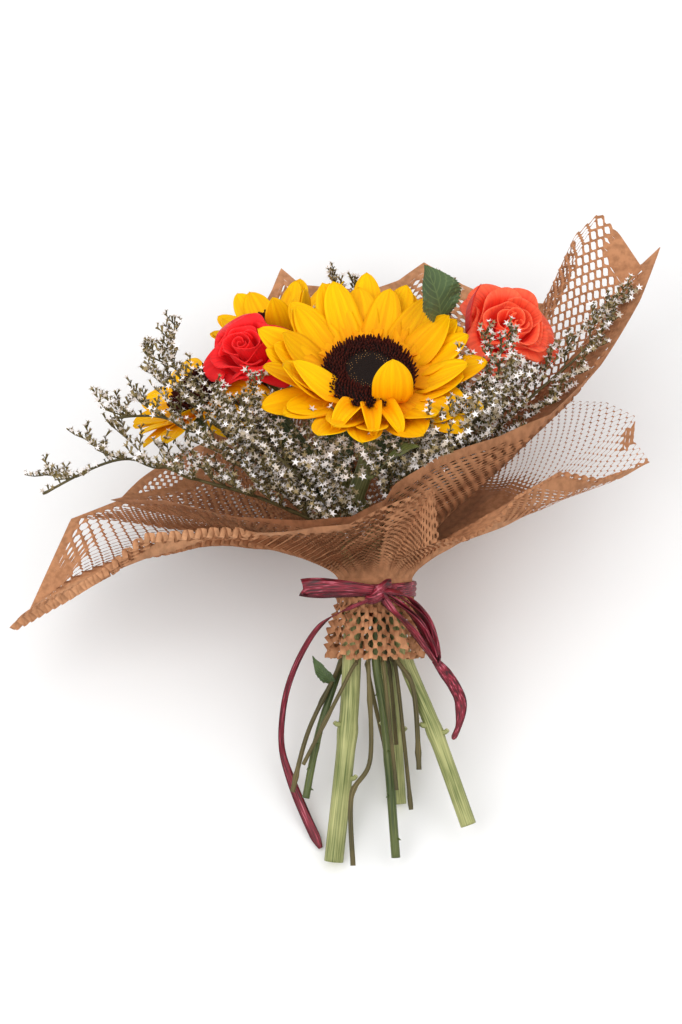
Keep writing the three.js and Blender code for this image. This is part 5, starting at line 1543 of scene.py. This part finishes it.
# %% [markdown]
# The papery stars of statice are white when fresh, cream where they fade and brown where they have
# dried, and each sits on an olive calyx. Ten materials could give ten colours. One finish does for
# all the stars here, because each star brings a shade of its own that picks its colour from a ramp.

# %% Statice finishes
star_white = Finish("statice_star", rough=0.8, sheen=0.3, specular=0.2)
dried_to_fresh = [(0.0, srgb(96, 80, 42)), (0.3, srgb(156, 136, 98)), (0.6, srgb(210, 198, 190)),
                  (1.0, srgb(248, 243, 242))]
star_white.colour(star_white.ramp(star_white.tint(), dried_to_fresh))
calyx = Finish("statice_calyx", rough=0.8, specular=0.2)
calyx_greens = [(0.0, srgb(62, 54, 26)), (0.5, srgb(98, 86, 46)), (1.0, srgb(142, 124, 80))]
calyx.colour(calyx.ramp(calyx.tint(), calyx_greens))
print("statice finishes made")

# %% [markdown]
# One floret of statice is a star of five papery petals on a narrow calyx, up to six millimetres
# wide. It is modelled by hand from a disc with ten sides: every other point of the rim is drawn in,
# the tips are raised and the middle sinks. To move only some points, they are picked by where they
# lie. The calyx is a small open cone.

# %% Model one star and its calyx
def pick(made, test):
    """In edit mode, selects only the points that pass the test."""
    bpy.ops.mesh.select_mode(type="VERT")
    bpy.ops.mesh.select_all(action="DESELECT")
    bpy.ops.object.mode_set(mode="OBJECT")
    for point in made.data.vertices:
        point.select = bool(test(point.co))
    bpy.ops.object.mode_set(mode="EDIT")


def between_tips(co):
    """True for every other point of the rim."""
    return co.length > 0.9 and round((90 - math.degrees(math.atan2(co.y, co.x))) / 36) % 2


def model_star():
    bpy.ops.mesh.primitive_circle_add(vertices=10, radius=1, fill_type="TRIFAN")
    made = bpy.context.object
    bpy.ops.object.mode_set(mode="EDIT")
    pick(made, between_tips)
    bpy.ops.transform.resize(value=(0.36, 0.36, 1), center_override=(0, 0, 0))
    bpy.ops.transform.translate(value=(0, 0, 0.1))
    pick(made, lambda co: co.length > 0.9)
    bpy.ops.transform.translate(value=(0, 0, 0.32))
    pick(made, lambda co: co.length < 0.1)
    bpy.ops.transform.translate(value=(0, 0, -0.12))
    return shape_of(made)


STAR = model_star()
bpy.ops.mesh.primitive_cone_add(vertices=4, radius1=0.12, radius2=0.36, depth=1.72, end_fill_type="NOTHING",
                                location=(0, 0, -0.84))
CALYX = shape_of(bpy.context.object)
print("a star has", len(STAR[1][0]), "faces and its calyx", len(CALYX[1][0]))

# %% [markdown]
# Thousands of stars are needed, and setting them one at a time would be slow. So one step places
# all stars of a twig at once, each turned about its own axis by a seeded draw. They sit in two
# ragged rows on the upper side of the twig. Stars that would come out through the front of the
# paper are left out, since a real bunch is held in by it.

# %% Rows of stars on a twig
STAR_SIZE = 2.4  # mm, the radius of a middling star
STAR_SLOT, CALYX_SLOT = 1, 2  # finish slots of every spray


def within_paper(at):
    """True for points inside the inner sheet or above its rim; only the front side is looked at."""
    at = np.asarray(at, float)
    phi = np.degrees(np.arctan2(at[:, 1], at[:, 0]))
    sheet = paper_at(False, phi[:, None], np.linspace(0, 1, 41)[None, :])
    wide, high = np.hypot(sheet[..., 0], sheet[..., 1]), sheet[..., 2]
    wall = np.array([np.interp(w, h, r) for w, h, r in zip(at[:, 2], high, wide)])
    return (at[:, 2] > high[:, -1]) | (np.hypot(at[:, 0], at[:, 1]) < wall - 1.5) | (at[:, 1] < 20)


def stars(gather, at, axis, size, shade, seed):
    """Sets stars at many points at once."""
    axis = unit(axis)
    helper = np.where(np.abs(axis[:, :1]) < 0.8, [[1.0, 0, 0]], [[0, 1.0, 0]])
    p = unit(np.cross(axis, helper))
    q = np.cross(axis, p)
    turn = np.array([6.28 * draw(seed + i, 3) for i in range(len(at))])[:, None]  # about a full turn
    p, q = p * np.cos(turn) + q * np.sin(turn), q * np.cos(turn) - p * np.sin(turn)
    frames = np.stack([p, q, axis], 1)
    for (shape, faces), slot in ((STAR, STAR_SLOT), (CALYX, CALYX_SLOT)):
        points = at[:, None, :] + size[:, None, None] * (shape @ frames)
        m = len(shape)
        first = (np.arange(len(at)) * m)[:, None, None]
        all_faces = (faces[0][None] + first).reshape(-1, faces[0].shape[1])
        gather.add(points.reshape(-1, 3), all_faces, None, np.repeat(shade, m), slot)


def row_of_stars(gather, curve, count, up, seed):
    """Two ragged rows of stars along the upper side of a twig, with one at its tip."""
    t = 0.16 + 0.84 * (np.arange(count) + 0.5) / count
    along = unit(curve(np.minimum(1, t + 0.02)) - curve(t - 0.02))
    side = unit(np.cross(along, up))
    lean = np.array([(1 if k % 2 else -1) * (0.35 + 0.7 * draw(seed, k)) for k in range(count)])[:, None]
    rise = np.array([0.75 + 0.5 * draw(seed, k + 31) for k in range(count)])[:, None]
    axis = unit(up * rise + along * 0.45 + side * lean)
    shade = np.array([draw(seed, k + 91) ** 1.05 for k in range(count)])
    size = STAR_SIZE * np.array([0.8 + 0.45 * draw(seed, k + 61) for k in range(count)])
    size = size * (0.62 + 0.38 * smooth(0.1, 0.3, shade))  # dried stars are smaller
    at = curve(t) + axis * (size * 1.55)[:, None]
    kept = within_paper(at)
    if kept.any():
        stars(gather, at[kept], axis[kept], size[kept], shade[kept], seed)


print("the inner sheet holds the tie's middle:", bool(within_paper([[0, 0, 0]])[0]))

# %% [markdown]
# Nine sprays of statice fill the bunch. Each has the path of its main stem, given from the cut end
# to the tip, the side its stars look to, and where its twigs start and how far they reach. Some twigs
# are longer and end at points of their own, to fill the front of the bunch.

# %% Places of the nine sprays, in mm
SPRAYS = {
    "left_far": dict(
        face=(0, 0.45, 0.9), start=0.49, twigs=7, reach=34, r=(1.9, 0.9),
        path=[[28.4, 14, -115], [24.8, 12.2, -64], [13.1, 10, -42], [-0.9, 5.6, 0], [-24.4, 21.8, 35],
              [-70, 31.6, 58], [-110, 38, 70], [-160, 40, 84], [-212, 30, 62]],
        more=[[-62, 48, 78], [-78, 50, 70], [-96, 52, 84]]),
    "left_mid": dict(
        face=(-0.1, 0.5, 0.86), start=0.52, twigs=6, reach=32, r=(1.5, 0.8),
        path=[[23.3, 10, -141], [14.1, 3, -54], [9.9, 1.7, -42], [2, 2.6, 0], [-20.8, 21.3, 42],
              [-60.4, 31.4, 72], [-96, 44, 92], [-134, 44, 110], [-168, 34, 110]],
        more=[[-118, 54, 96], [-104, 52, 108], [-84, 54, 98]]),
    "left_top": dict(
        face=(-0.3, 0.6, 0.74), start=0.56, twigs=6, reach=28, r=(1.5, 0.8),
        path=[[14, -4, -100], [10, -2, -54], [7.6, -1.9, -42], [-0.8, -1.3, 0], [-24.5, 1.2, 44],
              [-62.1, 20.7, 82], [-98, 34, 112], [-130, 32, 136], [-137, 16, 158]],
        more=[[-98, 44, 122], [-116, 40, 130], [-82, 42, 112]]),
    "left_front": dict(
        face=(-0.1, 0.75, 0.65), start=0.6, twigs=6, reach=28, r=(1.9, 0.8),
        path=[[-14, 20, -176], [-15, 19.5, -132], [-3, 18.5, -108], [-4, 18, -54], [-4.4, 16.2, -42],
              [-5.8, 19, 0], [-6.3, 19.6, 14], [-14, 31, 34], [-34, 44, 58], [-60, 58, 84],
              [-78, 58, 104], [-86, 50, 124]],
        more=[[-46, 64, 104], [-30, 62, 92], [-56, 60, 96], [-36, 66, 78], [-16, 60, 84],
              [-22, 64, 100], [-10, 68, 92], [-8, 62, 72]]),
    "centre_front": dict(
        face=(0.1, 0.7, 0.7), start=0.55, twigs=6, reach=24, r=(1.4, 0.8),
        path=[[14, 15, -128], [6, 18, -54], [5, 16, -42], [8.4, 15.5, 0], [5, 27, 32], [13, 49, 60],
              [28, 66, 80], [44, 72, 98], [64, 68, 114]],
        more=[[8, 70, 92], [-6, 66, 84], [22, 76, 96], [34, 78, 104], [20, 72, 80], [48, 76, 88],
              [-2, 70, 98], [2, 64, 76]]),
    "right_front": dict(
        face=(0.1, 0.75, 0.65), start=0.5, twigs=6, reach=26, r=(1.5, 0.8),
        path=[[-46, 10, -112], [-16.6, 16.9, -54], [-10.8, 16.2, -42], [-3.5, 9.7, 0], [16.5, 22.2, 42],
              [40.1, 38, 76], [62, 50, 106], [76, 52, 132], [80, 46, 162]],
        more=[[58, 56, 124], [92, 50, 128], [70, 60, 100], [54, 56, 90], [96, 48, 142], [60, 46, 150]]),
    "right_top": dict(
        face=(0.2, 0.6, 0.77), start=0.5, twigs=7, reach=34, r=(1.8, 0.8), short_tip=0.5,
        path=[[-53, 4, -130], [-42.4, 4.7, -90], [-19.6, -0.7, -42], [-5.3, -4.7, 0], [16.6, -1.2, 42],
              [51.9, 12.6, 82], [100, 18, 124], [140, 8, 160], [158, -4, 192]],
        more=[[112, 30, 112], [126, 26, 132], [90, 34, 104], [118, 22, 150]]),
    "back_right": dict(
        face=(0.2, 0.5, 0.85), start=0.56, twigs=4, reach=20, r=(1.6, 0.8),
        path=[[9, -22, -112], [-4, -16, -54], [-3, -14.5, -42], [2.3, -16.9, 0], [14.2, -25.2, 50],
              [26, -32, 96], [36, -36, 140], [42, -32, 178], [46, -22, 196]],
        more=[[60, -10, 150]]),
    "back_left": dict(
        face=(-0.1, 0.5, 0.86), start=0.56, twigs=4, reach=22, r=(1.6, 0.8),
        path=[[-20, -14, -100], [-12, -12, -54], [-10, -12, -42], [-5, -13.2, 0], [-10, -30, 50],
              [-16, -44, 96], [-18, -50, 140], [-18, -44, 176], [-22, -24, 202]],
        more=[[-38, -20, 180]]),
}
print("sprays", len(SPRAYS))

# %% [markdown]
# A spray branches twice: twigs leave the main stem by turns to both sides, and short side twigs
# leave each twig. A tree add-on could grow it, but it knows nothing of the paper round the spray.
# Three points give a twig here: its foot, its middle and its tip, which bows up. So it is easy to
# see whether it stays inside.

# %% Twigs of a spray
def twigs_of(spray, up, order):
    """The three points of every twig on a spray's main stem."""
    def stem(t):
        return spline(spray["path"], t)[0]

    found = []
    count = spray["twigs"] * 2 + 3
    for i in range(count):
        n = order * 57 + i
        t = spray["start"] + (0.97 - spray["start"]) * (i + 0.3) / count
        foot = stem(t)
        along = unit(stem(t + 0.02) - stem(t - 0.02))
        side = unit(np.cross(along, up)) * (1 if i % 2 else -1)
        length = spray["reach"] * (0.75 + 0.5 * draw(n, 1)) * (1.2 - 0.45 * t)
        length = length * (1 - spray.get("short_tip", 0) * float(smooth(0.7, 1, t)))
        spread, high = 0.45 + 0.7 * draw(n, 2), 0.1 + 0.55 * draw(n, 3)
        d = unit(along * 0.75 + side * spread + up * high)
        bow = unit(along + side * spread * 0.35 + up * (high + 0.15))
        found.append([foot, foot + d * length * 0.5, foot + d * length * 0.55 + bow * length * 0.5])
    for i, tip in enumerate(spray["more"]):  # longer twigs that fill the front of the bunch
        foot = stem(spray["start"] + 0.03 * i)
        tip = np.array(tip, float)
        found.append([foot, foot + (tip - foot) * 0.5 + up * 5, tip])
    return found


def side_twig(knots, up, i, k, m):
    """The three points of side twig k on twig i, and its length; m seeds its draws."""
    f = 0.26 + 0.18 * k + 0.08 * draw(m, 1)
    root = spline(knots, f)[0]
    way = unit(spline(knots, f + 0.05)[0] - spline(knots, f - 0.05)[0])
    turn = unit(np.cross(way, up)) * (1 if (k + i) % 2 else -1)
    length = min(np.linalg.norm(knots[2] - knots[0]), 34) * (0.36 + 0.2 * draw(m, 2))
    e = unit(way * 0.8 + turn * (0.5 + 0.4 * draw(m, 3)) + up * (0.15 + 0.5 * draw(m, 4)))
    middle = root + e * length * 0.5
    return [root, middle, middle + unit(e + up * 0.3) * length * 0.5], length


print("twigs on the first spray:", len(twigs_of(SPRAYS["left_far"], unit(SPRAYS["left_far"]["face"]), 0)))

# %% [markdown]
# Now the sprays are put together: the main stem, knotty where leaves sat, the twigs and side twigs
# that stay inside the paper, and a row of stars on each. All of one spray becomes one piece with
# three finishes.

# %% Sprays of statice
STAR_SPACING, SIDE_SPACING = 2.4, 2.25  # mm of a twig and of a side twig for each star


def on_path(path):
    return lambda t: spline(path, t)


for order, (name, spray) in enumerate(SPRAYS.items()):
    path, up = spray["path"], unit(spray["face"])
    thick, thin = spray["r"]
    sprig = Gather()

    def girth(t):
        return (thick + (thin - thick) * t) * (0.88 + 0.3 * max(0, math.sin(46 * t + order)) ** 14)

    tube(sprig, path, girth, 8, 120, 0.08, 3, (STALK, STALK))
    row_of_stars(sprig, lambda t: spline(path, 0.8 + 0.2 * t), 16, up, order * 31 + 5)
    for i, knots in enumerate(twigs_of(spray, up, order)):
        if not within_paper(knots[1:]).all():
            continue
        n = order * 57 + i
        tube(sprig, knots, lambda f: 0.62 - 0.22 * f, 5, 6)
        count = max(6, int(np.linalg.norm(knots[2] - knots[0]) / STAR_SPACING))
        row_of_stars(sprig, on_path(knots), count, up, n * 3 + 7)
        for k in range(4):
            m = n * 5 + k
            side_knots, length = side_twig(knots, up, i, k, m)
            if within_paper(side_knots).all():
                tube(sprig, side_knots, lambda f: 0.4 - 0.12 * f, 4, 4)
                count = max(5, int(length / SIDE_SPACING))
                row_of_stars(sprig, on_path(side_knots), count, up, m * 3 + 11)
    made = sprig.piece("statice_spray_" + name, [tan_stalk, star_white.material, calyx.material])
    stand_for(made, ["statice_" + name], "statice_white")

# %% [markdown]
# A pale floor and three large soft lights, as in a studio: one from each side and one from beyond
# the flowers, with a bright even surrounding. A picture of a real room as surrounding would put
# its own colours on the petals. Nothing here belongs to the bouquet.

# %% Floor and light
bpy.ops.mesh.primitive_plane_add(size=8, location=(0, 0, -LOWEST))
floor = bpy.context.object
floor.name = "floor"
pale = Finish("pale_floor", rough=0.9, specular=0.1)
pale.colour(pale.ramp(pale.noise(1.5, detail=1), [(0.3, grey(0.82)), (0.7, grey(0.84))]))
floor.data.materials.append(pale.material)

LIGHTS = [((-0.9, -0.5, 1.6), 1.4, 16), ((1.1, -0.2, 1.5), 1.6, 9), ((0.1, 0.9, 1.8), 1.6, 9)]
for place, size, power in LIGHTS:  # in metres, metres and watts
    bpy.ops.object.light_add(type="AREA", location=place)
    lamp = bpy.context.object
    lamp.data.size = size
    lamp.data.energy = power
    lamp.rotation_euler = Vector(-np.array(place)).to_track_quat("-Z", "Y").to_euler()

SKY = 0.75  # strength of the even surrounding
world = bpy.context.scene.world or bpy.data.worlds.new("studio")
bpy.context.scene.world = world
world.use_nodes = True
world.node_tree.nodes["Background"].inputs["Color"].default_value = WHITE
world.node_tree.nodes["Background"].inputs["Strength"].default_value = SKY
bpy.context.scene.view_settings.view_transform = "Standard"

# %% [markdown]
# Every piece keeps to the form of its solid, so the box of the finished pieces should nearly agree
# with the box of the solids.
